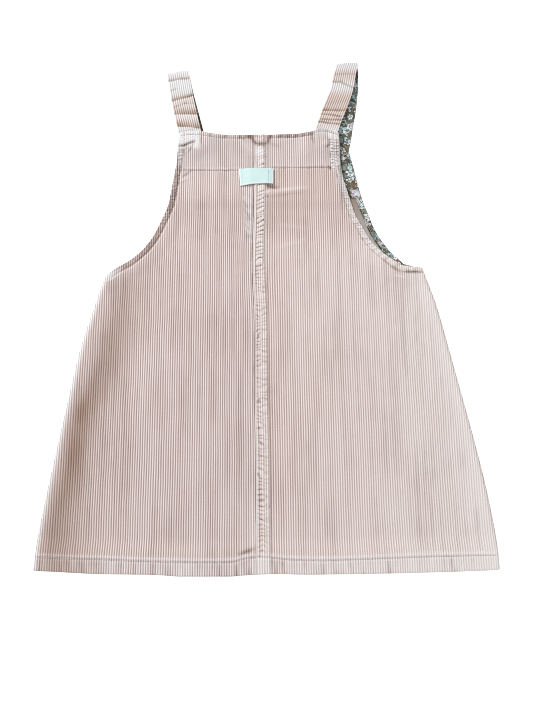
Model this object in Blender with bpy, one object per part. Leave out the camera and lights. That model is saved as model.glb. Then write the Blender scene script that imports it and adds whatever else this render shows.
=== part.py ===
# Toddler's corduroy pinafore dress, laid flat on its front with its back up.
#
# Frame: metres in the scene, millimetres in this file.  +Z is up from the
# surface that the dress lies on, +Y runs from the hem to the straps, +X is to
# the right as one looks down on the back.  The origin is at the middle of the
# bounding box, on the surface.
#
# Every piece is a wall of cloth.  The layers, from the surface up, are: front
# panel (right side down), its printed facings, the back panels (right side
# up), the label.  Each strap is a corduroy band with a printed lining.  It
# runs up from the bib, folds over at the shoulder, comes down on itself and is
# tucked under the top edge of the back.

import bpy
import bmesh
import math
from collections import namedtuple

# ------------------------------------------------------------ named sizes, mm
T_CORD = 1.3            # corduroy wall
T_PRINT = 1.0           # printed cotton wall
T_LABEL = 1.0           # woven label
GAP = 0.3               # clearance between neighbouring pieces
STRAP_W = 24.6          # strap width
HEM_DEPTH = 15.5        # turned-up hem, two layers thick
HEM_SLOPE = 4.0         # run of the step from one layer to two
CB_TOP_W = 13.6         # centre-back felled seam, width at the top
CB_HEM_W = 13.8         # and at the hem
CB_RISE = 1.0           # extra layers in the felled seam
SIDE_RIDGE = 1.2        # seam allowances inside the side seam lift the back
FACING_LOW_Y = 111.3    # lower edge of the bib facing
BIB_TOP_Y = 167.0       # top edge of the front bib
ARM_FACING_W = 6.6      # width of the armhole facing
FOLD_R = 3.8            # outer radius of the strap where it folds over
TUCK_Y = 178.6          # lower end of the strap, under the back's top edge

Z_FACING = T_CORD + GAP                  # underside of the facings
Z_BACK = T_CORD + GAP                    # back over one layer
Z_BACK_FACED = Z_FACING + T_PRINT + GAP  # back over panel and facing
STRAP_TOTAL = T_CORD + GAP + T_PRINT     # band and lining together
Z_STRAP = STRAP_TOTAL + GAP              # underside of a strap's back half
TUCK_LIFT = Z_STRAP + STRAP_TOTAL + GAP  # back's underside over a strap end

# ------------------------------------------------------------------- tables
# The outline of the two layers: where each edge lies at each height y.
Section = namedtuple("Section", "y back_left back_right front_left front_right")
OUTLINE = [
    Section(180.0, -95.4, 79.4, None, None),
    Section(172.0, -95.7, 79.8, None, None),
    Section(166.0, -96.0, 80.1, -89.7, 90.4),
    Section(150.0, -97.6, 81.1, -93.6, 94.0),
    Section(135.0, -99.6, 82.9, -96.6, 97.3),
    Section(120.0, -101.8, 86.9, -99.2, 100.5),
    Section(105.0, -104.0, 91.0, -102.6, 104.5),
    Section(92.0, -108.4, 94.9, -107.2, 109.2),
    Section(80.0, -113.3, 100.9, -112.1, 113.3),
    Section(70.0, -117.7, 105.9, -116.5, 117.9),
    Section(60.0, -123.8, 112.1, -122.6, 124.0),
    Section(52.0, -130.0, 119.6, -128.8, 129.8),
    Section(44.0, -138.1, 128.9, -136.8, 137.4),
    Section(39.5, -144.0, 135.3, -142.8, 142.1),
    Section(36.5, -148.9, 140.0, -147.8, 144.4),
    Section(34.2, -152.8, 145.2, -151.7, 146.2),
    Section(32.8, -155.2, 162.6, -154.1, 162.0),
    Section(24.0, -166.3, 165.8, -165.6, 165.2),
    Section(12.0, -171.3, 169.8, -170.6, 169.2),
    Section(-5.0, -176.2, 175.0, -175.5, 174.4),
    Section(-55.0, -189.2, 186.1, -188.6, 185.5),
    Section(-104.0, -197.6, 196.4, -197.0, 195.8),
    Section(-151.0, -205.2, 206.1, -204.6, 205.5),
    Section(-197.0, -212.4, 214.2, -211.8, 213.6),
    Section(-241.0, -218.2, 219.6, -217.6, 219.0),
    Section(-267.0, -219.9, 220.8, -219.3, 220.2),
]

# Heights of the hem's folded edge and of the back's top edge, by x.
EdgePoint = namedtuple("EdgePoint", "x y")
HEM = [EdgePoint(-219.9, -266.5), EdgePoint(-186.0, -268.2), EdgePoint(-156.0, -269.6),
       EdgePoint(-111.0, -270.2), EdgePoint(-96.0, -270.8), EdgePoint(-80.0, -271.8),
       EdgePoint(-36.0, -271.8), EdgePoint(-20.0, -270.8), EdgePoint(-4.0, -269.9),
       EdgePoint(9.0, -269.6), EdgePoint(39.0, -270.1), EdgePoint(100.0, -269.3),
       EdgePoint(160.0, -268.0), EdgePoint(205.0, -266.4), EdgePoint(220.8, -265.5)]
TOP = [EdgePoint(-95.4, 184.4), EdgePoint(-90.5, 186.6), EdgePoint(-83.0, 187.9),
       EdgePoint(-73.0, 188.0), EdgePoint(-66.0, 186.4), EdgePoint(-55.0, 185.6),
       EdgePoint(-7.0, 185.1), EdgePoint(38.0, 186.5), EdgePoint(51.0, 187.9),
       EdgePoint(56.0, 191.3), EdgePoint(60.0, 191.9), EdgePoint(65.7, 191.5),
       EdgePoint(71.2, 190.0), EdgePoint(76.6, 187.9), EdgePoint(79.4, 185.6)]

# Line of the centre-back seam.
SEAM = [EdgePoint(-8.9, -272.0), EdgePoint(-9.8, -200.0), EdgePoint(-10.3, -150.0),
        EdgePoint(-11.3, -104.0), EdgePoint(-11.6, -50.0), EdgePoint(-12.0, -18.0),
        EdgePoint(-13.4, 12.0), EdgePoint(-14.1, 38.0), EdgePoint(-14.0, 58.0),
        EdgePoint(-13.4, 80.0), EdgePoint(-13.0, 105.0), EdgePoint(-12.7, 150.0),
        EdgePoint(-12.7, 187.0)]

# Straps: middle of the back half and of the front half at each height, and
# how far the back half stands up in a ripple there.
StrapRow = namedtuple("StrapRow", "y back_mid front_mid ripple")
STRAP_LEFT = [
    StrapRow(187.5, -83.5, -80.8, 0.0),
    StrapRow(193.4, -84.9, -82.3, 0.2),
    StrapRow(200.7, -86.6, -84.2, 1.6),
    StrapRow(208.0, -88.3, -86.1, 0.2),
    StrapRow(216.6, -90.2, -88.4, 1.5),
    StrapRow(227.8, -92.6, -91.3, 0.3),
    StrapRow(232.0, -93.4, -92.4, 1.6),
    StrapRow(237.0, -94.3, -93.6, 0.6),
    StrapRow(241.5, -95.1, -94.7, 1.7),
    StrapRow(251.0, -96.8, -96.7, 0.2),
]
STRAP_RIGHT = [
    StrapRow(187.5, 65.7, 82.0, 0.0),
    StrapRow(192.5, 67.4, 82.7, 0.1),
    StrapRow(203.5, 71.0, 84.8, 1.0),
    StrapRow(208.5, 72.8, 85.8, 0.4),
    StrapRow(215.0, 75.4, 87.0, 1.5),
    StrapRow(226.0, 79.6, 88.5, 1.2),
    StrapRow(234.0, 82.5, 89.5, 0.5),
    StrapRow(243.0, 84.8, 90.5, 0.3),
    StrapRow(253.0, 86.8, 91.0, 1.3),
    StrapRow(260.0, 88.2, 91.1, 0.6),
]
# Both ends of each strap and its shoulder fold, with the strap's heading there
# (radians from +Y, towards +X).
StrapEnds = namedtuple("StrapEnds", "tuck_mid bib_mid fold_mid fold_y fold_heading")
ENDS_LEFT = StrapEnds(-81.6, -77.0, -98.0, 257.0, -0.20)
ENDS_RIGHT = StrapEnds(62.6, 78.0, 90.8, 268.0, -0.05)

# The largest soft folds of the back: middle, length along its own line, width
# across it, height (a trough is negative) and the line's angle from +X.
Fold = namedtuple("Fold", "x y length width height angle")
FOLDS = [
    Fold(-76.0, 164.0, 46.0, 22.0, 0.9, 52.0),
    Fold(58.0, 160.0, 40.0, 22.0, 0.8, -60.0),
    Fold(-6.0, 176.0, 52.0, 20.0, 0.9, 0.0),
    Fold(30.0, 118.0, 70.0, 26.0, 0.7, 18.0),
    Fold(-120.0, -80.0, 190.0, 40.0, 0.8, 84.0),
    Fold(110.0, -60.0, 210.0, 46.0, 0.7, 98.0),
    Fold(-62.0, -150.0, 150.0, 38.0, -0.4, 88.0),
]

Label = namedtuple("Label", "corner x y")
LABEL = [Label("low_left", -27.9, 123.4), Label("low_right", 7.8, 125.9),
         Label("top_right", 7.8, 143.4), Label("top_left", -29.3, 143.5)]


# ------------------------------------------------------------ small functions
def along(rows, x_name, y_name, x):
    """Smooth monotone reading of one column of a table against another."""
    pts = sorted((getattr(r, x_name), getattr(r, y_name)) for r in rows
                 if getattr(r, y_name) is not None)
    if x <= pts[0][0]:
        return pts[0][1]
    if x >= pts[-1][0]:
        return pts[-1][1]
    n = len(pts)
    d = [(pts[i + 1][1] - pts[i][1]) / (pts[i + 1][0] - pts[i][0]) for i in range(n - 1)]
    m = [d[0]] + [0.0 if d[i - 1] * d[i] <= 0 else
                  2.0 * d[i - 1] * d[i] / (d[i - 1] + d[i]) for i in range(1, n - 1)] + [d[-1]]
    for i in range(n - 1):
        if x <= pts[i + 1][0]:
            break
    h = pts[i + 1][0] - pts[i][0]
    t = (x - pts[i][0]) / h
    return ((2 * t ** 3 - 3 * t ** 2 + 1) * pts[i][1] + (t ** 3 - 2 * t ** 2 + t) * h * m[i]
            + (3 * t ** 2 - 2 * t ** 3) * pts[i + 1][1] + (t ** 3 - t ** 2) * h * m[i + 1])


def ease(lo, hi, v):
    t = min(max((v - lo) / (hi - lo), 0.0), 1.0)
    return t * t * (3.0 - 2.0 * t)


def edge_x(side, y):
    return along(OUTLINE, "y", side, y)


def hem_y(x):
    return along(HEM, "x", "y", x)


def top_y(x):
    return along(TOP, "x", "y", x)


def seam_x(y):
    return along([EdgePoint(p.y, p.x) for p in SEAM], "x", "y", y)


def seam_w(y):
    return CB_HEM_W + (CB_TOP_W - CB_HEM_W) * (y + 272.0) / 459.0


def front_armhole(side, count):
    """Points down the front's armhole edge, from the facing to the underarm."""
    low = 32.9 if side == "front_right" else 24.5
    path = []
    steps = 200
    for i in range(steps + 1):
        y = FACING_LOW_Y - GAP + (low - FACING_LOW_Y + GAP) * i / steps
        path.append((edge_x(side, y), y))
    run = [0.0]
    for a, b in zip(path, path[1:]):
        run.append(run[-1] + math.dist(a, b))
    out, j = [], 0
    for k in range(count):
        want = run[-1] * k / (count - 1)
        while j < steps - 1 and run[j + 1] < want:
            j += 1
        t = (want - run[j]) / max(run[j + 1] - run[j], 1e-9)
        out.append((path[j][0] + t * (path[j + 1][0] - path[j][0]),
                    path[j][1] + t * (path[j + 1][1] - path[j][1])))
    return out


ARM_LEFT = front_armhole("front_left", 15)
ARM_RIGHT = front_armhole("front_right", 15)


def distance_to(path, x, y):
    best = 1e9
    for (ax, ay), (bx, by) in zip(path, path[1:]):
        ux, uy = bx - ax, by - ay
        t = min(max(((x - ax) * ux + (y - ay) * uy) / (ux * ux + uy * uy), 0.0), 1.0)
        best = min(best, math.hypot(x - ax - t * ux, y - ay - t * uy))
    return best


def fold_height(x, y):
    """Sum of the soft folds at a point of the back."""
    total = 0.0
    for f in FOLDS:
        a = math.radians(f.angle)
        u = ((x - f.x) * math.cos(a) + (y - f.y) * math.sin(a)) / (0.5 * f.length)
        v = ((y - f.y) * math.cos(a) - (x - f.x) * math.sin(a)) / (0.5 * f.width)
        if abs(u) < 1 and abs(v) < 1:
            total += f.height * (1 - u * u) ** 2 * (1 - v * v) ** 2
    return total


def back_under(x, y):
    """Height of the back's underside above the surface."""
    # over the bib facing, and over the armhole facings
    faced = ease(96.0, 109.0, y)
    for path in (ARM_LEFT, ARM_RIGHT):
        faced = max(faced, 1.0 - ease(ARM_FACING_W + 2.5, ARM_FACING_W + 16.0,
                                      distance_to(path, x, y)))
    # over the front's doubled hem
    above_hem = y - hem_y(x)
    hemmed = 1.0 - ease(HEM_DEPTH + 0.5, HEM_DEPTH + HEM_SLOPE + 1.0, above_hem)
    z = Z_BACK + (Z_BACK_FACED - Z_BACK) * max(faced, hemmed)
    # a rounded ridge beside each side seam
    if y < 30.0:
        inside = min(x - edge_x("back_left", y), edge_x("back_right", y) - x)
        z += SIDE_RIDGE * ease(-0.5, 4.5, inside) * (1.0 - ease(10.0, 30.0, inside)) \
            * (1.0 - ease(12.0, 30.0, y)) * (1.0 - 0.5 * hemmed)
    # over the strap ends tucked under the top corners
    for lo, hi in ((-99.0, -64.0), (48.0, 84.0)):
        u = ease(lo - 16.0, lo, x) * (1.0 - ease(hi, hi + 16.0, x))
        z += (TUCK_LIFT - Z_BACK_FACED) * u * ease(152.0, 173.0, y)
    fade = ease(0.0, 12.0, above_hem - HEM_DEPTH)
    return max(z + fold_height(x, y) * fade, Z_BACK if y < BIB_TOP_Y else 1.2)


def back_over(x, y):
    """Height of the back's outer face, without the felled seam."""
    doubled = 1.0 - ease(HEM_DEPTH - 0.5, HEM_DEPTH + HEM_SLOPE, y - hem_y(x))
    return back_under(x, y) + T_CORD * (1.0 + doubled)


# ------------------------------------------------------------------ mesh work
def piece(name, over, under, material, flat_under=False):
    """Closed wall of cloth between two grids of points, in millimetres."""
    rows, cols = len(over), len(over[0])
    bm = bmesh.new()

    def verts(grid):
        return [[bm.verts.new((p[0] * 0.001, p[1] * 0.001, p[2] * 0.001)) for p in row]
                for row in grid]

    a = verts(over)
    if flat_under:
        ring = [(0, c) for c in range(cols)] + [(r, cols - 1) for r in range(1, rows)] \
            + [(rows - 1, c) for c in range(cols - 2, -1, -1)] \
            + [(r, 0) for r in range(rows - 2, 0, -1)]
        low = {rc: bm.verts.new((under[rc[0]][rc[1]][0] * 0.001,
                                 under[rc[0]][rc[1]][1] * 0.001,
                                 under[rc[0]][rc[1]][2] * 0.001)) for rc in ring}
        bm.faces.new([low[rc] for rc in ring])
        for p, q in zip(ring, ring[1:] + ring[:1]):
            bm.faces.new((a[p[0]][p[1]], a[q[0]][q[1]], low[q], low[p]))
    else:
        b = verts(under)
        for r in range(rows - 1):
            for c in range(cols - 1):
                bm.faces.new((b[r][c], b[r + 1][c], b[r + 1][c + 1], b[r][c + 1]))
            for c in (0, cols - 1):
                bm.faces.new((a[r][c], a[r + 1][c], b[r + 1][c], b[r][c]))
        for c in range(cols - 1):
            for r in (0, rows - 1):
                bm.faces.new((a[r][c], b[r][c], b[r][c + 1], a[r][c + 1]))
    for r in range(rows - 1):
        for c in range(cols - 1):
            bm.faces.new((a[r][c], a[r][c + 1], a[r + 1][c + 1], a[r + 1][c]))
    bmesh.ops.recalc_face_normals(bm, faces=bm.faces)
    mesh = bpy.data.meshes.new(name)
    bm.to_mesh(mesh)
    bm.free()
    mesh.shade_smooth()
    mesh.set_sharp_from_angle(angle=math.radians(40))
    mesh.materials.append(material)
    obj = bpy.data.objects.new(name, mesh)
    bpy.context.scene.collection.objects.link(obj)
    return obj


def cloth_material(name, colour, roughness, sheen):
    mat = bpy.data.materials.new(name)
    mat.use_nodes = True
    bsdf = mat.node_tree.nodes["Principled BSDF"]
    bsdf.inputs["Base Color"].default_value = (*colour, 1.0)
    bsdf.inputs["Roughness"].default_value = roughness
    bsdf.inputs["Metallic"].default_value = 0.0
    bsdf.inputs["Sheen Weight"].default_value = sheen
    return mat


def section_lines(side):
    """The lines across a panel, from its top edge to its hem: each is a
    function of x for the line's height, and the x of the panel's side edge."""
    lines = []
    if side.startswith("back"):
        corner = edge_x(side, 184.0)
        lines.append((top_y, corner))
    heights = [row.y for row in OUTLINE if getattr(row, side) is not None and row.y > -260.0]
    if side.startswith("front"):
        heights[0] = BIB_TOP_Y
    # one more line half-way where the table's rows are far apart
    between = [0.5 * (a + b) for a, b in zip(heights, heights[1:]) if a - b > 6.0]
    for y in sorted(heights + between, reverse=True):
        lines.append((lambda x, y=y: y, edge_x(side, y)))
    for lift in (HEM_DEPTH + HEM_SLOPE, HEM_DEPTH, 2.0, 0.0):
        x_edge = edge_x(side, (-266.5 if side.endswith("left") else -265.5) + lift)
        lines.append((lambda x, lift=lift: hem_y(x) + lift, x_edge))
    return lines


def back_panel(side, material):
    """One back panel.  The right one carries the felled seam's fold."""
    sign = -1.0 if side == "back_left" else 1.0
    over, under = [], []
    for line, x_edge in section_lines(side):
        y_mid = line(sign * 60.0)
        x_seam = seam_x(y_mid)
        width = seam_w(y_mid)
        if sign > 0:
            inner = [x_seam + 0.5 * GAP, x_seam + width, x_seam + width + 2.0]
            lift = [CB_RISE, CB_RISE, 0.0]
            spread = 5
        else:
            inner = [x_seam - 0.5 * GAP]
            lift = [0.0]
            spread = 6
        last = x_edge - sign * 30.0
        mid = [inner[-1] + (last - inner[-1]) * k / spread for k in range(1, spread)]
        outer = [x_edge - sign * d for d in (30.0, 20.0, 11.0, 5.0, 1.2, 0.0)]
        xs = inner + mid + outer
        lift = lift + [0.0] * (len(xs) - len(lift))
        top_row, low_row = [], []
        for x, up in zip(xs, lift):
            y = line(x)
            top_row.append((x, y, back_over(x, y) + up))
            low_row.append((x, y, back_under(x, y)))
        over.append(top_row)
        under.append(low_row)
    return piece(side + "_panel", over, under, material)


def front_panel(material):
    over, under = [], []
    lefts = section_lines("front_left")
    rights = section_lines("front_right")
    n = 16
    for (line, xl), (_, xr) in zip(lefts, rights):
        top_row, low_row = [], []
        for k in range(n + 1):
            x = xl + (xr - xl) * k / n
            y = line(x)
            doubled = 1.0 - ease(HEM_DEPTH - 0.5, HEM_DEPTH + HEM_SLOPE - 0.5, y - hem_y(x))
            top_row.append((x, y, T_CORD * (1.0 + doubled)))
            low_row.append((x, y, 0.0))
        over.append(top_row)
        under.append(low_row)
    return piece("front_panel", over, under, material, flat_under=True)


def bib_facing(material):
    over, under = [], []
    n = 8
    for k in range(7):
        y = FACING_LOW_Y + (BIB_TOP_Y - GAP - FACING_LOW_Y) * k / 6
        xl, xr = edge_x("front_left", y) + 0.4, edge_x("front_right", y) - 0.4
        xs = [xl + (xr - xl) * i / n for i in range(n + 1)]
        over.append([(x, y, Z_FACING + T_PRINT) for x in xs])
        under.append([(x, y, Z_FACING) for x in xs])
    return piece("bib_facing", over, under, material)


def armhole_facing(name, path, sign, material):
    """Narrow band laid inside the front's armhole edge."""
    over, under = [], []
    for i, (x, y) in enumerate(path):
        ax, ay = path[max(i - 1, 0)]
        bx, by = path[min(i + 1, len(path) - 1)]
        tx, ty = bx - ax, by - ay
        size = math.hypot(tx, ty)
        nx, ny = -sign * abs(ty) / size, -abs(tx) / size
        if i == 0:
            nx, ny = -sign, 0.0
        rim = (x + 0.4 * nx, y + 0.4 * ny)
        inner = (x + ARM_FACING_W * nx, y + ARM_FACING_W * ny)
        mid = ((rim[0] + inner[0]) / 2, (rim[1] + inner[1]) / 2)
        over.append([(*p, Z_FACING + T_PRINT) for p in (rim, mid, inner)])
        under.append([(*p, Z_FACING) for p in (rim, mid, inner)])
    return piece(name, over, under, material)


def strap_sections(rows, ends):
    """Sections of a strap from its tucked end, over the shoulder fold and down
    to the bib: middle x and y, heading, height of the printed inner face, and
    the direction (dy, dz) in which its thickness grows."""
    fx, fy = ends.fold_mid, ends.fold_y
    heights = [r.y for r in rows]
    heights = sorted(heights + [0.5 * (a + b) for a, b in zip(heights, heights[1:])])
    back = [(TUCK_Y, ends.tuck_mid, 0.0)] + \
        [(y, along(rows, "y", "back_mid", y), along(rows, "y", "ripple", y)) for y in heights]
    front = [(y, along(rows, "y", "front_mid", y)) for y in heights[::3]]

    def heading(points, i):
        a, b = points[max(i - 1, 0)], points[min(i + 1, len(points) - 1)]
        return math.atan2(b[1] - a[1], b[0] - a[0])

    back_pts = [(y, x) for y, x, _ in back] + [(fy, fx)]
    front_pts = [(BIB_TOP_Y + GAP, ends.bib_mid)] + front + [(fy, fx)]
    fold_heading = ends.fold_heading
    inner_r = FOLD_R - STRAP_TOTAL
    out = []
    for i, (y, x, ripple) in enumerate(back):
        near = ease(fy - 26.0, fy - 2.0, y)
        h = heading(back_pts, i) * (1 - near) + fold_heading * near
        z = Z_STRAP + ripple + (FOLD_R + inner_r - Z_STRAP) * near
        out.append((x, y, h, z, 0.0, 1.0))
    steps = 8
    for k in range(steps + 1):
        phi = math.pi / 2 - math.pi * k / steps
        out.append((fx, fy, fold_heading, FOLD_R, math.cos(phi), math.sin(phi)))
    for i in range(len(front) - 1, -1, -1):
        y, x = front[i]
        near = ease(fy - 26.0, fy - 2.0, y)
        h = heading(front_pts, i + 1) * (1 - near) + fold_heading * near
        out.append((x, y, h, STRAP_TOTAL, 0.0, -1.0))
    out.append((ends.bib_mid, BIB_TOP_Y + GAP, 0.0, STRAP_TOTAL, 0.0, -1.0))
    return out


def strap_layer(name, rows, ends, near, far, width, material):
    """One layer of a strap, between two distances from its inner face."""
    inner_r = FOLD_R - STRAP_TOTAL
    faces = []
    for offset in (far, near):
        grid = []
        for x, y, h, z, dy, dz in strap_sections(rows, ends):
            turning = dy != 0.0 or z == FOLD_R
            reach = (inner_r + offset) if turning else 0.0
            line = []
            for k in range(4):
                w = width * (k / 3.0 - 0.5)
                px = x + w * math.cos(h) + reach * dy * math.sin(h)
                py = y - w * math.sin(h) + reach * dy * math.cos(h)
                pz = FOLD_R + reach * dz if turning else z + offset * dz
                line.append((px, py, pz))
            grid.append(line)
        faces.append(grid)
    return piece(name, faces[0], faces[1], material)


def label(material):
    corner = {r.corner: r for r in LABEL}
    over, under = [], []
    cols = [0.0, 0.18, 0.36, 0.44, 0.5, 0.6, 0.72, 0.80, 0.9, 1.0]
    for r in range(4):
        v = r / 3.0
        top_row, low_row = [], []
        for u in cols:
            x = (1 - v) * ((1 - u) * corner["low_left"].x + u * corner["low_right"].x) \
                + v * ((1 - u) * corner["top_left"].x + u * corner["top_right"].x)
            y = (1 - v) * ((1 - u) * corner["low_left"].y + u * corner["low_right"].y) \
                + v * ((1 - u) * corner["top_left"].y + u * corner["top_right"].y)
            y += math.sin(math.pi * u) * (1.0 - 0.5 * v)
            d = x - seam_x(y)
            bridge = ease(-7.0, -2.0, d) * (1.0 - ease(seam_w(y) + 2.5, seam_w(y) + 6.5, d))
            z = back_over(x, y) + GAP + 0.15 + CB_RISE * bridge
            low_row.append((x, y, z))
            top_row.append((x, y, z + T_LABEL))
        over.append(top_row)
        under.append(low_row)
    return piece("label", over, under, material)


# ----------------------------------------------------------------- the model
def build():
    for obj in list(bpy.data.objects):
        bpy.data.objects.remove(obj, do_unlink=True)

    corduroy = cloth_material("corduroy", (0.62, 0.50, 0.47), 0.9, 0.35)
    printed = cloth_material("printed_cotton", (0.42, 0.52, 0.47), 0.8, 0.0)
    woven = cloth_material("woven_label", (0.76, 0.90, 0.88), 0.55, 0.0)

    front_panel(corduroy)
    bib_facing(printed)
    armhole_facing("armhole_facing_left", ARM_LEFT, -1.0, printed)
    armhole_facing("armhole_facing_right", ARM_RIGHT, 1.0, printed)
    back_panel("back_left", corduroy)
    back_panel("back_right", corduroy)
    for side, rows, ends in (("left", STRAP_LEFT, ENDS_LEFT),
                             ("right", STRAP_RIGHT, ENDS_RIGHT)):
        strap_layer("strap_lining_" + side, rows, ends, 0.0, T_PRINT,
                    STRAP_W - 0.8, printed)
        strap_layer("strap_" + side, rows, ends, T_PRINT + GAP, STRAP_TOTAL,
                    STRAP_W, corduroy)
    label(woven)


build()
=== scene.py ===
"""Toddler's corduroy pinafore dress, laid flat on its front with its back up.

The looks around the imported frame.  Lengths in this file are millimetres, in
the frame's own axes: +Z up from the surface, +Y from the hem to the straps.
"""
import bpy
import bmesh
import math
import numpy as np
from collections import namedtuple
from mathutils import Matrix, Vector


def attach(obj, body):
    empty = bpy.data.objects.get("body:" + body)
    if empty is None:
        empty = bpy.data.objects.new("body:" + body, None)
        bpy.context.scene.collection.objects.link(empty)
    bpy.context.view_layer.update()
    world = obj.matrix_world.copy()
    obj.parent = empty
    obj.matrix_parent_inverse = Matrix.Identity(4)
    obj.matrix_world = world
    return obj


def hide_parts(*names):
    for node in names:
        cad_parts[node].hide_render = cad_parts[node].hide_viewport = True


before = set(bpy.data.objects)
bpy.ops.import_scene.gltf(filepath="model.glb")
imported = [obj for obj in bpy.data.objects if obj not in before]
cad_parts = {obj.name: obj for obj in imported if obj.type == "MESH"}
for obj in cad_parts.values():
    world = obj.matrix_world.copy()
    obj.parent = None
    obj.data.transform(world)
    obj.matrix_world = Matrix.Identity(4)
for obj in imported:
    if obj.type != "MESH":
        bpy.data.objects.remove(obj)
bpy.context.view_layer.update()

# ------------------------------------------------------------ named sizes, mm
T_CORD = 1.3            # corduroy wall
T_PRINT = 1.0           # printed cotton wall
T_LABEL = 1.0           # woven label
GAP = 0.3               # clearance between neighbouring pieces
STRAP_W = 24.6
HEM_DEPTH = 15.5
HEM_SLOPE = 4.0
CB_TOP_W = 13.6         # centre-back felled seam, width at the top
CB_HEM_W = 13.8         # and at the hem
CB_RISE = 1.0
SIDE_RIDGE = 1.2
FACING_LOW_Y = 111.3
BIB_TOP_Y = 167.0
ARM_FACING_W = 6.6
FOLD_R = 3.8
TUCK_Y = 178.6
WALE = 2.31             # one rib and one groove, 11 to the inch
RELIEF = 0.55           # height of a rib over its groove
ARM_STITCH = 6.3        # stitch line inside the armhole edge
TOP_STITCH = 4.7        # and inside the top edge
STITCH, STITCH_GAP = 2.5, 0.6

Z_FACING = T_CORD + GAP
Z_BACK = T_CORD + GAP
Z_BACK_FACED = Z_FACING + T_PRINT + GAP
STRAP_TOTAL = T_CORD + GAP + T_PRINT
Z_STRAP = STRAP_TOTAL + GAP
TUCK_LIFT = Z_STRAP + STRAP_TOTAL + GAP

# ------------------------------------------------------------------- tables
Section = namedtuple("Section", "y back_left back_right front_left front_right")
OUTLINE = [
    Section(180.0, -95.4, 79.4, None, None),
    Section(172.0, -95.7, 79.8, None, None),
    Section(166.0, -96.0, 80.1, -89.7, 90.4),
    Section(150.0, -97.6, 81.1, -93.6, 94.0),
    Section(135.0, -99.6, 82.9, -96.6, 97.3),
    Section(120.0, -101.8, 86.9, -99.2, 100.5),
    Section(105.0, -104.0, 91.0, -102.6, 104.5),
    Section(92.0, -108.4, 94.9, -107.2, 109.2),
    Section(80.0, -113.3, 100.9, -112.1, 113.3),
    Section(70.0, -117.7, 105.9, -116.5, 117.9),
    Section(60.0, -123.8, 112.1, -122.6, 124.0),
    Section(52.0, -130.0, 119.6, -128.8, 129.8),
    Section(44.0, -138.1, 128.9, -136.8, 137.4),
    Section(39.5, -144.0, 135.3, -142.8, 142.1),
    Section(36.5, -148.9, 140.0, -147.8, 144.4),
    Section(34.2, -152.8, 145.2, -151.7, 146.2),
    Section(32.8, -155.2, 162.6, -154.1, 162.0),
    Section(24.0, -166.3, 165.8, -165.6, 165.2),
    Section(12.0, -171.3, 169.8, -170.6, 169.2),
    Section(-5.0, -176.2, 175.0, -175.5, 174.4),
    Section(-55.0, -189.2, 186.1, -188.6, 185.5),
    Section(-104.0, -197.6, 196.4, -197.0, 195.8),
    Section(-151.0, -205.2, 206.1, -204.6, 205.5),
    Section(-197.0, -212.4, 214.2, -211.8, 213.6),
    Section(-241.0, -218.2, 219.6, -217.6, 219.0),
    Section(-267.0, -219.9, 220.8, -219.3, 220.2),
]
EdgePoint = namedtuple("EdgePoint", "x y")
HEM = [EdgePoint(-219.9, -266.5), EdgePoint(-186.0, -268.2), EdgePoint(-156.0, -269.6),
       EdgePoint(-111.0, -270.2), EdgePoint(-96.0, -270.8), EdgePoint(-80.0, -271.8),
       EdgePoint(-36.0, -271.8), EdgePoint(-20.0, -270.8), EdgePoint(-4.0, -269.9),
       EdgePoint(9.0, -269.6), EdgePoint(39.0, -270.1), EdgePoint(100.0, -269.3),
       EdgePoint(160.0, -268.0), EdgePoint(205.0, -266.4), EdgePoint(220.8, -265.5)]
TOP = [EdgePoint(-95.4, 184.4), EdgePoint(-90.5, 186.6), EdgePoint(-83.0, 187.9),
       EdgePoint(-73.0, 188.0), EdgePoint(-66.0, 186.4), EdgePoint(-55.0, 185.6),
       EdgePoint(-7.0, 185.1), EdgePoint(38.0, 186.5), EdgePoint(51.0, 187.9),
       EdgePoint(56.0, 191.3), EdgePoint(60.0, 191.9), EdgePoint(65.7, 191.5),
       EdgePoint(71.2, 190.0), EdgePoint(76.6, 187.9), EdgePoint(79.4, 185.6)]
SEAM = [EdgePoint(-8.9, -272.0), EdgePoint(-9.8, -200.0), EdgePoint(-10.3, -150.0),
        EdgePoint(-11.3, -104.0), EdgePoint(-11.6, -50.0), EdgePoint(-12.0, -18.0),
        EdgePoint(-13.4, 12.0), EdgePoint(-14.1, 38.0), EdgePoint(-14.0, 58.0),
        EdgePoint(-13.4, 80.0), EdgePoint(-13.0, 105.0), EdgePoint(-12.7, 150.0),
        EdgePoint(-12.7, 187.0)]
# stitch line that holds the hem
HEM_STITCH = [EdgePoint(-217.0, -254.0), EdgePoint(-195.9, -255.2), EdgePoint(-174.8, -255.8),
              EdgePoint(-156.8, -256.3), EdgePoint(-109.5, -258.1), EdgePoint(-60.0, -258.9),
              EdgePoint(-33.0, -258.6), EdgePoint(-14.2, -254.6), EdgePoint(-3.0, -254.9),
              EdgePoint(4.6, -254.9), EdgePoint(20.7, -256.4), EdgePoint(50.0, -257.3),
              EdgePoint(115.2, -255.2), EdgePoint(164.0, -253.6), EdgePoint(219.0, -252.4)]
# stitch line that holds the back facing's lower edge, each side of the seam
FACING_STITCH = [EdgePoint(-84.4, 142.3), EdgePoint(-28.2, 142.1), EdgePoint(9.6, 145.4),
                 EdgePoint(74.5, 145.9)]

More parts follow.
